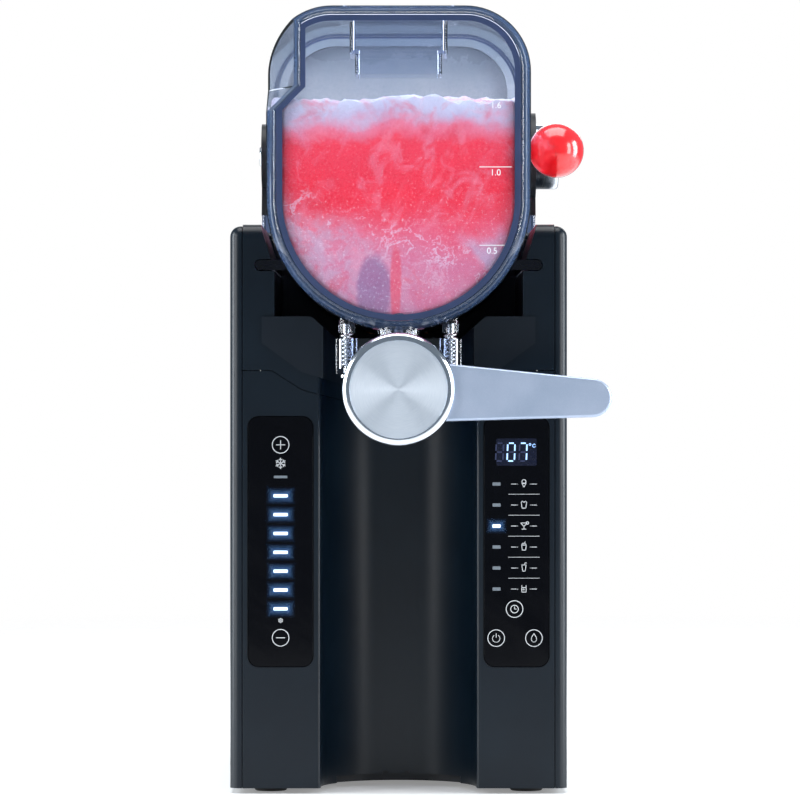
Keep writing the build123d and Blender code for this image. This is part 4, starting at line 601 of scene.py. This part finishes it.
def slushFinish(name):
    material, tree, shader = newMaterial(name)
    vector = pieceCoords(tree)
    split = tree.nodes.new("ShaderNodeSeparateXYZ")
    tree.links.new(vector, split.inputs[0])
    x, y, z = split.outputs
    broad = noiseOf(tree, vector, 30, 4, 0.55, 0.6)
    middling = noiseOf(tree, vector, 120, 4, 0.6, 0.4)
    grains = noiseOf(tree, vector, 620, 3, 0.7)
    drift = sums(tree, "MULTIPLY_ADD", broad, 0.022, sums(tree, "MULTIPLY_ADD", middling, 0.008, -0.015))
    height = sums(tree, "ADD", z, drift)
    place = rangeOf(tree, height, 0.250, 0.386)
    layered = rampOf(tree, place, [
        (0.00, (0.70, 0.17, 0.27)), (0.22, (0.78, 0.17, 0.27)), (0.38, (0.90, 0.12, 0.19)),
        (0.50, (0.95, 0.060, 0.100)), (0.62, (0.98, 0.030, 0.060)), (0.88, (0.98, 0.045, 0.080)),
        (0.935, (0.88, 0.20, 0.28)), (0.972, (0.60, 0.50, 0.62)), (1.00, (0.66, 0.67, 0.76))])
    # the lower part: pale and icy at the left, wetter and redder at the right
    border = sums(tree, "MULTIPLY_ADD", x, -0.30, 0.306)
    below = sums(tree, "SUBTRACT", height, border)
    pale = rangeOf(tree, below, -0.012, 0.010, 1, 0)
    iced = sums(tree, "MULTIPLY", pale, rangeOf(tree, middling, 0.34, 0.62, 0.25, 1))
    leftward = rangeOf(tree, x, -0.060, 0.030, 0.92, 0.30)
    colour = blendColours(tree, sums(tree, "MULTIPLY", iced, leftward), layered, (0.66, 0.40, 0.50))
    # painted shade: the lower right corner of the slush is blended towards a dull purple
    corner = rangeOf(tree, sums(tree, "ADD", x, height), 0.336, 0.342)
    low = rangeOf(tree, height, 0.296, 0.312, 1, 0)
    shaded = sums(tree, "MULTIPLY", sums(tree, "MULTIPLY", corner, low), 0.75)
    colour = blendColours(tree, shaded, colour, (0.60, 0.46, 0.60))
    # paler clots in the red, and streaks that the auger drew up through it
    clots = rangeOf(tree, noiseOf(tree, vector, 64, 5, 0.62, 0.9), 0.50, 0.68)
    streaks = noiseOf(tree, pieceCoords(tree, turn=(0, 0.5, 0), stretch=(1, 1, 3.5)), 130, 4, 0.6, 0.3)
    mottle = sums(tree, "MULTIPLY_ADD", clots, 0.34, rangeOf(tree, streaks, 0.52, 0.72, 0, 0.26))
    colour = blendColours(tree, mottle, colour, (0.94, 0.30, 0.38))
    deeper = rangeOf(tree, noiseOf(tree, vector, 42, 4, 0.6, 0.7), 0.50, 0.72, 0, 0.5)
    colour = blendColours(tree, deeper, colour, (0.86, 0.018, 0.040))
    # wispy frost where the mass meets the wall
    warp = tree.nodes.new("ShaderNodeVectorMath")
    warp.operation = "MULTIPLY_ADD"
    bend = tree.nodes.new("ShaderNodeTexNoise")
    bend.inputs["Scale"].default_value = 75
    bend.inputs["Detail"].default_value = 5
    tree.links.new(vector, bend.inputs["Vector"])
    tree.links.new(bend.outputs["Color"], warp.inputs[0])
    warp.inputs[1].default_value = (0.022, 0.022, 0.022)
    tree.links.new(vector, warp.inputs[2])
    wisps = sums(tree, "ABSOLUTE", sums(tree, "SUBTRACT", noiseOf(tree, warp.outputs[0], 46, 5, 0.6), 0.5))
    vein = rangeOf(tree, wisps, 0.0, 0.022, 1, 0)
    edge = sums(tree, "ABSOLUTE", below)
    belt = rangeOf(tree, edge, 0.001, 0.014, 1, 0)
    veined = sums(tree, "MULTIPLY_ADD", belt, 0.55, sums(tree, "MULTIPLY", iced, 0.30))
    veinShare = sums(tree, "MULTIPLY", vein, veined, clamp=True)
    colour = blendColours(tree, veinShare, colour, (0.90, 0.66, 0.74))
    # painted shade: the paddle's dark shape as seen through the ice, drawn on the slush's face, and a
    # painted highlight: the red streak beside it
    front = rangeOf(tree, y, -0.172, -0.166, 1, 0)

    def spot(centreX, centreZ, halfX, halfZ, soft):
        across = sums(tree, "DIVIDE", sums(tree, "SUBTRACT", x, centreX), halfX)
        upward = sums(tree, "DIVIDE", sums(tree, "SUBTRACT", z, centreZ), halfZ)
        reach = sums(tree, "MULTIPLY_ADD", across, across, sums(tree, "MULTIPLY", upward, upward))
        ragged = sums(tree, "MULTIPLY_ADD", middling, 0.9, reach)
        return sums(tree, "MULTIPLY", rangeOf(tree, ragged, 1.45 - soft, 1.45 + soft, 1, 0), front)

    # painted shade: a dark patch where the paddle would show through the ice
    paintedPaddleShade = sums(tree, "MULTIPLY", spot(-0.0135, 0.2765, 0.0095, 0.020, 0.35), 0.75)
    colour = blendColours(tree, paintedPaddleShade, colour, (0.30, 0.16, 0.29))
    # painted highlight: a red streak beside the paddle's patch
    paintedStreakHighlight = sums(tree, "MULTIPLY", spot(-0.0015, 0.280, 0.0030, 0.022, 0.45), 0.7)
    colour = blendColours(tree, paintedStreakHighlight, colour, (0.86, 0.075, 0.12))
    # ice grains, whiter where the mass is pale
    icy = rangeOf(tree, grains, 0.56, 0.74)
    amount = sums(tree, "MULTIPLY_ADD", rangeOf(tree, z, 0.30, 0.345, 1, 0), 0.40, 0.14)
    colour = blendColours(tree, sums(tree, "MULTIPLY", icy, amount), colour, (0.95, 0.86, 0.90))
    feed(tree, shader, "Base Color", colour)
    feed(tree, shader, "Roughness", rangeOf(tree, grains, 0.3, 0.75, 0.22, 0.52))
    fixed(shader, ior=1.33, coatWeight=0.35, coatRoughness=0.18)
    relief = sums(tree, "MULTIPLY_ADD", middling, 1.2, grains)
    bumpFrom(tree, shader, relief, 0.0006, 0.8)
    return material


def slushTop(x, y):
    # height of the slush: uneven, with a ridge pushed up over the auger
    spot = Vector((x, y, 0.0))
    lumps = noise.fractal(spot * 60, 0.6, 2.2, 5) * 0.0030 + noise.noise(spot * 260) * 0.0009
    base = slush["level"] + lumps + 0.0022 * math.exp(-((x - 0.009) / 0.020) ** 2)
    ridge = augerAxis + math.sqrt(max((augerReach + slush["sweepGap"] + 0.0024) ** 2 - x * x, 0.0))
    if y < augerFront - 0.012 or abs(x) > 0.030:
        return base
    share = min(1.0, (y - (augerFront - 0.012)) / 0.010)
    return base + max(0.0, ridge + 0.4 * lumps - base) * share


def makeSlush():
    gasketLow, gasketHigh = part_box("vessel_gasket")
    radius = gasketHigh.x - slush["wallGap"]
    front = vesselFront + slush["frontSkin"]
    rear = gasketLow.y - slush["rearGap"]
    bm = bmesh.new()
    first = bm.verts.new((-radius, front, augerAxis))
    turned = bmesh.ops.spin(bm, geom=[first], cent=(0, front, augerAxis), axis=(0, -1, 0),
                            angle=math.pi, steps=48)
    last = vertsOf(turned["geom_last"])[0]
    corners = [bm.verts.new((v.co.x, front, slush["rawTop"])) for v in (first, last)]
    bm.edges.new((first, corners[0]))
    bm.edges.new((last, corners[1]))
    bm.edges.new((corners[0], corners[1]))
    face = bmesh.ops.contextual_create(bm, geom=list(bm.edges))["faces"]
    for depth in (slush["noseLength"], rear - front - slush["noseLength"]):
        grown = bmesh.ops.extrude_face_region(bm, geom=face)["geom"]
        face = [g for g in grown if isinstance(g, bmesh.types.BMFace)]
        bmesh.ops.translate(bm, vec=(0, depth, 0), verts=vertsOf(grown))
    # the nose narrows to the front, as the vessel does
    for v in bm.verts:
        if v.co.y < front + 1e-5:
            out = Vector((v.co.x, 0, min(v.co.z - augerAxis, 0)))
            v.co -= out.normalized() * slush["noseStep"]
    block = linked("slushBlock", meshFrom(bm, "slushBlock"))
    bm = bmesh.new()
    reach = augerReach + slush["sweepGap"]
    length = rear + 0.02 - (augerFront - slush["sweepGap"])
    middle = Vector((0, augerFront - slush["sweepGap"] + length / 2, augerAxis))
    place = Matrix.Translation(middle) @ Matrix.Rotation(math.pi / 2, 4, "X")
    bmesh.ops.create_cone(bm, cap_ends=True, segments=96, radius1=reach, radius2=reach,
                          depth=length, matrix=place)
    tool = linked("slushTool", meshFrom(bm, "slushTool"))
    cut = block.modifiers.new("cut", "BOOLEAN")
    cut.operation = "DIFFERENCE"
    cut.object = tool
    cut.solver = "EXACT"
    remesh = block.modifiers.new("remesh", "REMESH")
    remesh.mode = "VOXEL"
    remesh.voxel_size = slush["voxel"]
    bpy.context.view_layer.update()
    ready = block.evaluated_get(bpy.context.evaluated_depsgraph_get())
    mesh = bpy.data.meshes.new_from_object(ready)
    bpy.data.objects.remove(block)
    bpy.data.objects.remove(tool)
    bm = bmesh.new()
    bm.from_mesh(mesh)
    bm.normal_update()
    foot, skin = slush["foot"], slush["sweepSkin"]
    slant = Vector((-1, 0, -1)).cross(Vector(slush["lipSlope"])).normalized()
    if slant.z < 0:
        slant = -slant
    lip = Vector((gasketLow.x, front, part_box("filler_lid")[1].z)) + Vector(slush["lip"])
    for v in bm.verts:
        co = v.co
        grain = 0.5 + 0.5 * noise.noise(co * 210)
        away = Vector((co.x, 0, co.z - augerAxis))
        inSweep = co.y > augerFront - 0.004 and away.length < reach + 0.0015 and abs(v.normal.y) < 0.5
        if inSweep:
            v.co += away.normalized() * 0.0004 * grain
        else:
            v.co -= v.normal * 0.0008 * grain
        if co.z > foot:
            share = (slushTop(co.x, co.y) - foot) / (slush["rawTop"] - foot)
            v.co.z = foot + (co.z - foot) * share
        over = (v.co - lip).dot(slant)
        if over > 0:
            v.co -= slant * over
        away = Vector((v.co.x, 0, v.co.z - augerAxis))
        if v.co.y > augerFront - slush["sweepGap"] + 0.0004 and 0.03 < away.length < reach - skin:
            v.co += away.normalized() * (reach - skin - away.length)
    return meshFrom(bm, "slush", smooth=True)


augerLow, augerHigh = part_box("auger")
augerReach = (augerHigh.x - augerLow.x) / 2
augerAxis = sum(corner.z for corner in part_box("drive_shaft")) / 2
augerFront = augerLow.y
slushPiece = pieceFrom(makeSlush(), "slush", "vessel_body", slushFinish("slushIceFinish"))
print("slush:", len(slushPiece.data.polygons), "faces")

# ---- smoky band and dark ring round the vessel's window
window = {
    "radius": 0.0725, "cornerRadius": 0.036, "recessX": -0.0535, "recessDrop": 0.044,
    "ringOuter": 0.0058, "ringInner": 0.0091, "bandOuter": 0.0009, "skin": 0.0005,
}


def windowLoop(inset, recessShift, y):
    # the window's outline with the grip recess cut from its upper left corner, as points in order
    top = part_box("filler_lid")[1].z
    radius, corner = window["radius"] - inset, window["cornerRadius"] - inset
    middle = window["radius"] - window["cornerRadius"]
    recessX = window["recessX"] + recessShift
    recessZ = top - window["recessDrop"] - 0.414 * recessShift
    bm = bmesh.new()

    def turn(vert, centreX, centreZ, angle, steps):
        made = bmesh.ops.spin(bm, geom=[vert], cent=(centreX, y, centreZ), axis=(0, -1, 0),
                              angle=angle, steps=steps)
        return vertsOf(made["geom_last"])[0]

    turn(bm.verts.new((-radius, y, augerAxis)), 0, augerAxis, math.pi, 48)
    cornerZ = top - window["cornerRadius"]
    turn(bm.verts.new((radius, y, cornerZ)), middle, cornerZ, math.pi / 2, 14)
    sweep = math.asin((-recessX - middle) / corner)
    turn(bm.verts.new((-middle, y, top - inset)), -middle, cornerZ, sweep, 8)
    bm.verts.new((recessX, y, recessZ))
    bm.verts.new((-radius, y, recessZ - (radius + recessX)))
    points = [v.co.copy() for v in bm.verts]
    bm.free()
    return points


def sweepLoops(bm, loops):
    # joins each outline to the next and the last one to the first
    verts = [bm.verts.new(point) for point in loops[0]]
    edges = [bm.edges.new((verts[i - 1], verts[i])) for i in range(len(verts))]
    for now, target in zip(loops, loops[1:] + loops[:1]):
        grown = bmesh.ops.extrude_edge_only(bm, edges=edges)["geom"]
        fresh = vertsOf(grown)
        edges = [e for e in edgesOf(grown) if all(v in fresh for v in e.verts)]
        order = {tuple(round(number, 6) for number in point): i for i, point in enumerate(now)}
        for v in fresh:
            v.co = target[order[tuple(round(number, 6) for number in v.co)]]
    bmesh.ops.remove_doubles(bm, verts=bm.verts, dist=0.000002)


def makeWindowRing():
    front = vesselFront
    bm = bmesh.new()
    corners = ((window["ringOuter"], 0.0001, front + 0.0003), (window["ringInner"], 0.0027, front + 0.0003),
               (window["ringInner"], 0.0027, front + 0.0018), (window["ringOuter"], 0.0001, front + 0.0018))
    sweepLoops(bm, [windowLoop(*corner) for corner in corners])
    return meshFrom(bm, "windowRing")


def makeWindowBand():
    front = vesselFront
    bm = bmesh.new()
    inner, outer = window["ringOuter"] - 0.0002, window["bandOuter"]
    corners = ((inner, 0.0, front + 0.0006), (outer, -0.0030, front + 0.0086),
               (outer + window["skin"], -0.0026, front + 0.0090), (inner, 0.0004, front + 0.0014))
    sweepLoops(bm, [windowLoop(*corner) for corner in corners])
    return meshFrom(bm, "windowBand", smooth=True)


ringLook = {"colour": (0.020, 0.036, 0.095), "second": (0.030, 0.048, 0.120), "rough": 0.3, "coat": 0.5,
            "coatRough": 0.1}
bandLook = {"colour": (0.018, 0.037, 0.082), "second": (0.030, 0.056, 0.115), "rough": 0.25, "coat": 0.7,
            "coatRough": 0.08, "speck": 0.1, "grain": 900, "depth": 0.000005}
for mesh, look in ((makeWindowRing(), ringLook), (makeWindowBand(), bandLook)):
    pieceFrom(mesh, mesh.name, "vessel_body", moulded(mesh.name + "Finish", look))
print("window band ready")

# ---- tap springs
springs = {"wire": 0.00062, "turns": 8, "stepsPerTurn": 22, "lift": 0.0061}


def makeSprings():
    low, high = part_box("tap_springs")
    reach = (high.y - low.y) / 2 - springs["wire"]
    bm = bmesh.new()
    for side in (-1, 1):
        x = side * (high.x - springs["wire"] - reach)
        middle = Vector((x, (low.y + high.y) / 2, low.z + springs["wire"]))
        steps = springs["turns"] * springs["stepsPerTurn"]
        rise = (high.z - low.z - 2 * springs["wire"]) / steps
        place = Matrix.Translation(middle + Vector((reach, 0, 0))) @ Matrix.Rotation(math.pi / 2, 4, "X")
        wire = bmesh.ops.create_circle(bm, segments=8, radius=springs["wire"], matrix=place)["verts"]
        edges = list({e for v in wire for e in v.link_edges})
        bmesh.ops.contextual_create(bm, geom=edges)
        end = bmesh.ops.spin(bm, geom=edges, cent=middle, axis=(0, 0, 1), dvec=(0, 0, rise),
                             angle=math.tau * springs["turns"], steps=steps)["geom_last"]
        bmesh.ops.contextual_create(bm, geom=edgesOf(end))
    return meshFrom(bm, "tapSpringCoils", smooth=True)


springPiece = pieceFrom(makeSprings(), "tapSpringCoils", "vessel_body", finishes["spring_steel"])
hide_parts("tap_springs")
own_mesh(springPiece)
print("springs ready")

# ---- control panels
panels = {
    "barWidth": 0.0078, "barHeight": 0.0017, "barPitch": 0.01038, "firstBarDrop": 0.0334, "bars": 8,
    "lampWidth": 0.0044, "lampHeight": 0.0018, "lampPitch": 0.01157, "firstLampDrop": 0.0373, "lamps": 6,
    "litLamp": 2, "lampInset": 0.011, "button": 0.0046, "line": 0.00042, "digits": "07",
}
glassLow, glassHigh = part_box("left_control_glass")
rightLow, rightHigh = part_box("right_control_glass")
glassFront = glassLow.y
leftX = (glassLow.x + glassHigh.x) / 2
rightX = (rightLow.x + rightHigh.x) / 2
lampX = rightX - panels["lampInset"]
glassTop = glassHigh.z
litBar = glowing("litBarGlow", (0.66, 0.80, 1.0), 1.5)
haloGlow = glowing("haloGlow", (0.10, 0.26, 0.62), 0.8, falloff="glow")
dimInk = printedInk("dimLampInk", (0.16, 0.19, 0.22))
whiteInk = printedInk("panelInk", (0.62, 0.64, 0.66))
segmentGlow = glowing("segmentGlow", (0.36, 0.58, 0.90), 1.1)
ghostInk = printedInk("ghostSegmentInk", (0.020, 0.030, 0.085))
screenInk = printedInk("screenInk", (0.0035, 0.0055, 0.020), 0.2)


def barHeightAt(index):
    return glassTop - panels["firstBarDrop"] - index * panels["barPitch"]


def lampHeightAt(index):
    return glassTop - panels["firstLampDrop"] - index * panels["lampPitch"]


def addLamp(bm, index, corner):
    addPlate(bm, lampX, lampHeightAt(index), panels["lampWidth"], panels["lampHeight"], corner, glassFront)


def makeHalos():
    bm = bmesh.new()
    layer = bm.verts.layers.float.new("glow")
    for index in range(1, panels["bars"]):
        addHalo(bm, layer, leftX, barHeightAt(index), panels["barWidth"], panels["barHeight"],
                0.0042, glassFront)
    addHalo(bm, layer, lampX, lampHeightAt(panels["litLamp"]), panels["lampWidth"], panels["lampHeight"],
            0.0036, glassFront)
    return meshFrom(bm, "lampHalos")


def makeLit():
    bm = bmesh.new()
    for index in range(1, panels["bars"]):
        addPlate(bm, leftX, barHeightAt(index), panels["barWidth"], panels["barHeight"], 0.0004, glassFront)
    addLamp(bm, panels["litLamp"], 0.0004)
    return meshFrom(bm, "litLamps")


def makeUnlit():
    bm = bmesh.new()
    addPlate(bm, leftX, barHeightAt(0), panels["barWidth"] * 0.95, panels["barHeight"] * 0.8,
             0.0003, glassFront)
    for index in range(panels["lamps"]):
        if index != panels["litLamp"]:
            addLamp(bm, index, 0.0003)
    return meshFrom(bm, "unlitLamps")


def addSnowflake(bm, x, z, reach, width):
    for turn in range(6):
        angle = math.radians(90 + 60 * turn)
        tip = (x + reach * math.cos(angle), z + reach * math.sin(angle))
        addStroke(bm, (x, z), tip, width, glassFront)
        root = (x + 0.55 * reach * math.cos(angle), z + 0.55 * reach * math.sin(angle))
        for lean in (-0.9, 0.9):
            out = (0.36 * reach * math.cos(angle + lean), 0.36 * reach * math.sin(angle + lean))
            addStroke(bm, root, (root[0] + out[0], root[1] + out[1]), width, glassFront)


def makeLeftMarks():
    bm = bmesh.new()
    line = panels["line"]
    plusZ, flakeZ, dotZ, minusZ = (glassTop - drop for drop in (0.0157, 0.0259, 0.1125, 0.1220))
    for z in (plusZ, minusZ):
        addRing(bm, leftX, z, panels["button"], line, glassFront)
        addStroke(bm, (leftX - 0.0024, z), (leftX + 0.0024, z), line, glassFront)
    addStroke(bm, (leftX, plusZ - 0.0024), (leftX, plusZ + 0.0024), line, glassFront)
    addSnowflake(bm, leftX, flakeZ, 0.0029, line)
    addSnowflake(bm, leftX, dotZ, 0.0013, line * 0.8)
    return meshFrom(bm, "leftPanelMarks")


def drawDrinkMark(bm, index, x, z):
    # one small picture for each kind of drink
    line = panels["line"] * 0.9

    def path(points, closed=False):
        addPath(bm, [(x + px / 1000, z + pz / 1000) for px, pz in points], line, glassFront, closed)

    if index == 0:
        path([(-1.2, 0.2), (0, -2.1), (1.2, 0.2)], True)
        addRing(bm, x, z + 0.0010, 0.0011, line, glassFront)
    elif index == 1:
        path([(-1.5, 1.0), (-1.0, -2.0), (1.0, -2.0), (1.5, 1.0)])
        path([(-1.6, 1.0), (-0.8, 1.9), (0, 1.1), (0.8, 1.9), (1.6, 1.0)])
    elif index == 2:
        path([(-1.8, 1.4), (0, -0.6), (1.8, 1.4)], True)
        path([(0, -0.6), (0, -2.0)])
        path([(-1.1, -2.0), (1.1, -2.0)])
        addRing(bm, x + 0.0019, z + 0.0014, 0.0007, line, glassFront)
    elif index == 3:
        path([(-1.3, 0.8), (-0.9, -2.0), (0.9, -2.0), (1.3, 0.8)], True)
        path([(-1.3, 0.8), (-0.8, 1.7), (0.8, 1.7), (1.3, 0.8)])
        path([(0.2, 1.7), (0.7, 2.6)])
    elif index == 4:
        path([(-1.2, 1.4), (-0.7, -2.0), (0.7, -2.0), (1.2, 1.4)], True)
        path([(0.1, 1.4), (0.6, 2.5), (1.4, 2.5)])
    else:
        path([(-1.2, 1.6), (-1.2, -2.0), (1.2, -2.0), (1.2, 1.6)])
        path([(-1.2, 0.5), (1.2, 0.5)])
        path([(-0.5, -0.3), (0.1, -0.3), (0.1, -0.9), (-0.5, -0.9)], True)


def makeRightMarks():
    bm = bmesh.new()
    line = panels["line"]
    markX = rightX + 0.0041
    for index in range(panels["lamps"]):
        z = lampHeightAt(index)
        for offset in (-0.0056, 0.0, 0.0056):
            if offset == 0.0:
                drawDrinkMark(bm, index, markX, z + 0.0003)
            else:
                x = markX + offset
                addStroke(bm, (x - 0.0014, z), (x + 0.0014, z), line * 0.8, glassFront)
                addDot(bm, markX + offset * 0.62, z, 0.0002, glassFront)
        if index < panels["lamps"] - 1:
            addStroke(bm, (markX - 0.0086, z - 0.0056), (markX + 0.0086, z - 0.0056), 0.00022, glassFront)
    clockZ, lowZ = glassTop - 0.1062, glassTop - 0.1222
    clockX, powerX, cleanX = rightX - 0.0011, rightX - 0.0112, rightX + 0.0096
    for x, z in ((clockX, clockZ), (powerX, lowZ), (cleanX, lowZ)):
        addRing(bm, x, z, panels["button"], line, glassFront)
    addRing(bm, clockX, clockZ, 0.0021, line, glassFront)
    hands = [(clockX, clockZ + 0.0013), (clockX, clockZ), (clockX + 0.0010, clockZ)]
    addPath(bm, hands, line * 0.8, glassFront)
    arc = [(powerX + 0.0021 * math.cos(a), lowZ - 0.0002 + 0.0021 * math.sin(a))
           for a in [math.radians(125 + 29 * i) for i in range(11)]]
    addPath(bm, arc, line * 0.9, glassFront)
    addStroke(bm, (powerX, lowZ + 0.0004), (powerX, lowZ + 0.0025), line * 0.9, glassFront)
    drop = [(0, 0.0026), (0.0013, 0.0004), (0.0015, -0.0008), (0.0009, -0.0019), (0, -0.0022),
            (-0.0009, -0.0019), (-0.0015, -0.0008), (-0.0013, 0.0004)]
    addPath(bm, [(cleanX + px, lowZ + pz) for px, pz in drop], line * 0.9, glassFront, True)
    return meshFrom(bm, "rightPanelMarks")


segmentsOf = {"0": "abcdef", "7": "abc", "ghost": "abcdefg"}


def addDigit(bm, x, z, width, height, which):
    half, line, lean = height / 2, 0.0008, 0.04
    ends = {"a": ((0, 1), (1, 1)), "g": ((0, 0), (1, 0)), "d": ((0, -1), (1, -1)),
            "f": ((0, 1), (0, 0)), "b": ((1, 1), (1, 0)), "e": ((0, 0), (0, -1)), "c": ((1, 0), (1, -1))}
    for letter in which:
        points = []
        for side, level in ends[letter]:
            points.append(Vector((x + (side - 0.5) * width + lean * level * half, z + level * half)))
        gap = (points[1] - points[0]).normalized() * 0.0009
        addStroke(bm, points[0] + gap, points[1] - gap, line, glassFront - 0.00004)


def makeScreen():
    screenX, screenZ = rightX, glassTop - 0.0197
    bm = bmesh.new()
    addPlate(bm, screenX, screenZ, 0.0222, 0.0150, 0.0008, glassFront, 0.00006)
    screen = meshFrom(bm, "displayWindow")
    places = (screenX - 0.0030, screenX + 0.0036)
    bm = bmesh.new()
    for x, digit in zip(places, panels["digits"]):
        addDigit(bm, x, screenZ, 0.0040, 0.0098, segmentsOf[digit])
    addRing(bm, screenX + 0.0074, screenZ + 0.0042, 0.0005, 0.0003, glassFront - 0.00004)
    curl = [(0.0104, 0.0040), (0.0098, 0.0045), (0.0090, 0.0041), (0.0089, 0.0031), (0.0096, 0.0026),
            (0.0104, 0.0030)]
    addPath(bm, [(screenX + px, screenZ + pz) for px, pz in curl], 0.0003, glassFront - 0.00004)
    lit = meshFrom(bm, "displayDigits")
    bm = bmesh.new()
    for x, digit in zip(places, panels["digits"]):
        rest = [letter for letter in segmentsOf["ghost"] if letter not in segmentsOf[digit]]
        addDigit(bm, x, screenZ, 0.0040, 0.0098, rest)
    addDigit(bm, screenX - 0.0093, screenZ, 0.0040, 0.0098, "abcdefg")
    ghost = meshFrom(bm, "displayGhosts")
    return screen, lit, ghost


screenMesh, litMesh, ghostMesh = makeScreen()
for mesh, material, slotName in (
        (makeHalos(), haloGlow, "light_guide"), (makeLit(), litBar, "light_guide"),
        (makeUnlit(), dimInk, "light_guide"), (makeLeftMarks(), whiteInk, "panel_glass"),
        (makeRightMarks(), whiteInk, "panel_glass"), (screenMesh, screenInk, "panel_glass"),
        (litMesh, segmentGlow, "light_guide"), (ghostMesh, ghostInk, "panel_glass")):
    pieceFrom(mesh, mesh.name, "housing", material)
print("panels ready")

# ---- level marks on the vessel
levels = {
    # number, height, and the line's left and right ends
    "marks": [("1.6", 0.3808, 0.0458, 0.0605), ("1.0", 0.3441, 0.0442, 0.0616),
              ("0.5", 0.3014, 0.0442, 0.0578)],
    "textSize": 0.0048,
    "textDrop": 0.0046,
    "raised": 0.00006,
    "line": 0.0004,
}


def numberMesh(text, size):
    curve = bpy.data.curves.new("levelNumber", "FONT")
    curve.body = text
    curve.size = size
    curve.align_x = "CENTER"
    curve.extrude = levels["raised"]
    holder = linked("levelNumber", curve)
    bpy.context.view_layer.update()
    mesh = bpy.data.meshes.new_from_object(holder.evaluated_get(bpy.context.evaluated_depsgraph_get()))
    bpy.data.objects.remove(holder)
    return mesh


def makeLevelMarks():
    front = vesselFront
    bm = bmesh.new()
    for text, z, x0, x1 in levels["marks"]:
        addStroke(bm, (x0, z), (x1, z), levels["line"], front)
        mesh = numberMesh(text, levels["textSize"])
        place = Matrix.Translation(((x0 + x1) / 2, front - levels["raised"], z - levels["textDrop"]))
        mesh.transform(place @ Matrix.Rotation(math.pi / 2, 4, "X"))
        bm.from_mesh(mesh)
        bpy.data.meshes.remove(mesh)
    return meshFrom(bm, "levelMarks")


levelInk = printedInk("levelInk", (0.86, 0.87, 0.90))
pieceFrom(makeLevelMarks(), "levelMarks", "vessel_body", levelInk)
print("level marks ready")


def makeFloor():
    bm = bmesh.new()
    bmesh.ops.create_grid(bm, x_segments=1, y_segments=1, size=studio["floorSize"] / 2)
    mesh = bpy.data.meshes.new("floor")
    bm.to_mesh(mesh)
    bm.free()
    floor = linked("floor", mesh)
    material, tree, shader = newMaterial("floorPaint")
    cloud = noiseOf(tree, pieceCoords(tree), 3, 2)
    paler = tuple(c * 1.02 for c in studio["floorColour"])
    feed(tree, shader, "Base Color", blendColours(tree, cloud, studio["floorColour"], paler))
    fixed(shader, roughness=0.7)
    # the floor fades into the white room before its edge
    reach = tree.nodes.new("ShaderNodeVectorMath")
    reach.operation = "LENGTH"
    tree.links.new(pieceCoords(tree), reach.inputs[0])
    feed(tree, shader, "Alpha", rangeOf(tree, reach.outputs["Value"], *studio["floorFade"], 1, 0))
    fixed(shader, emissionColor=(1, 1, 1, 1), emissionStrength=0.25)
    mesh.materials.append(material)


makeFloor()
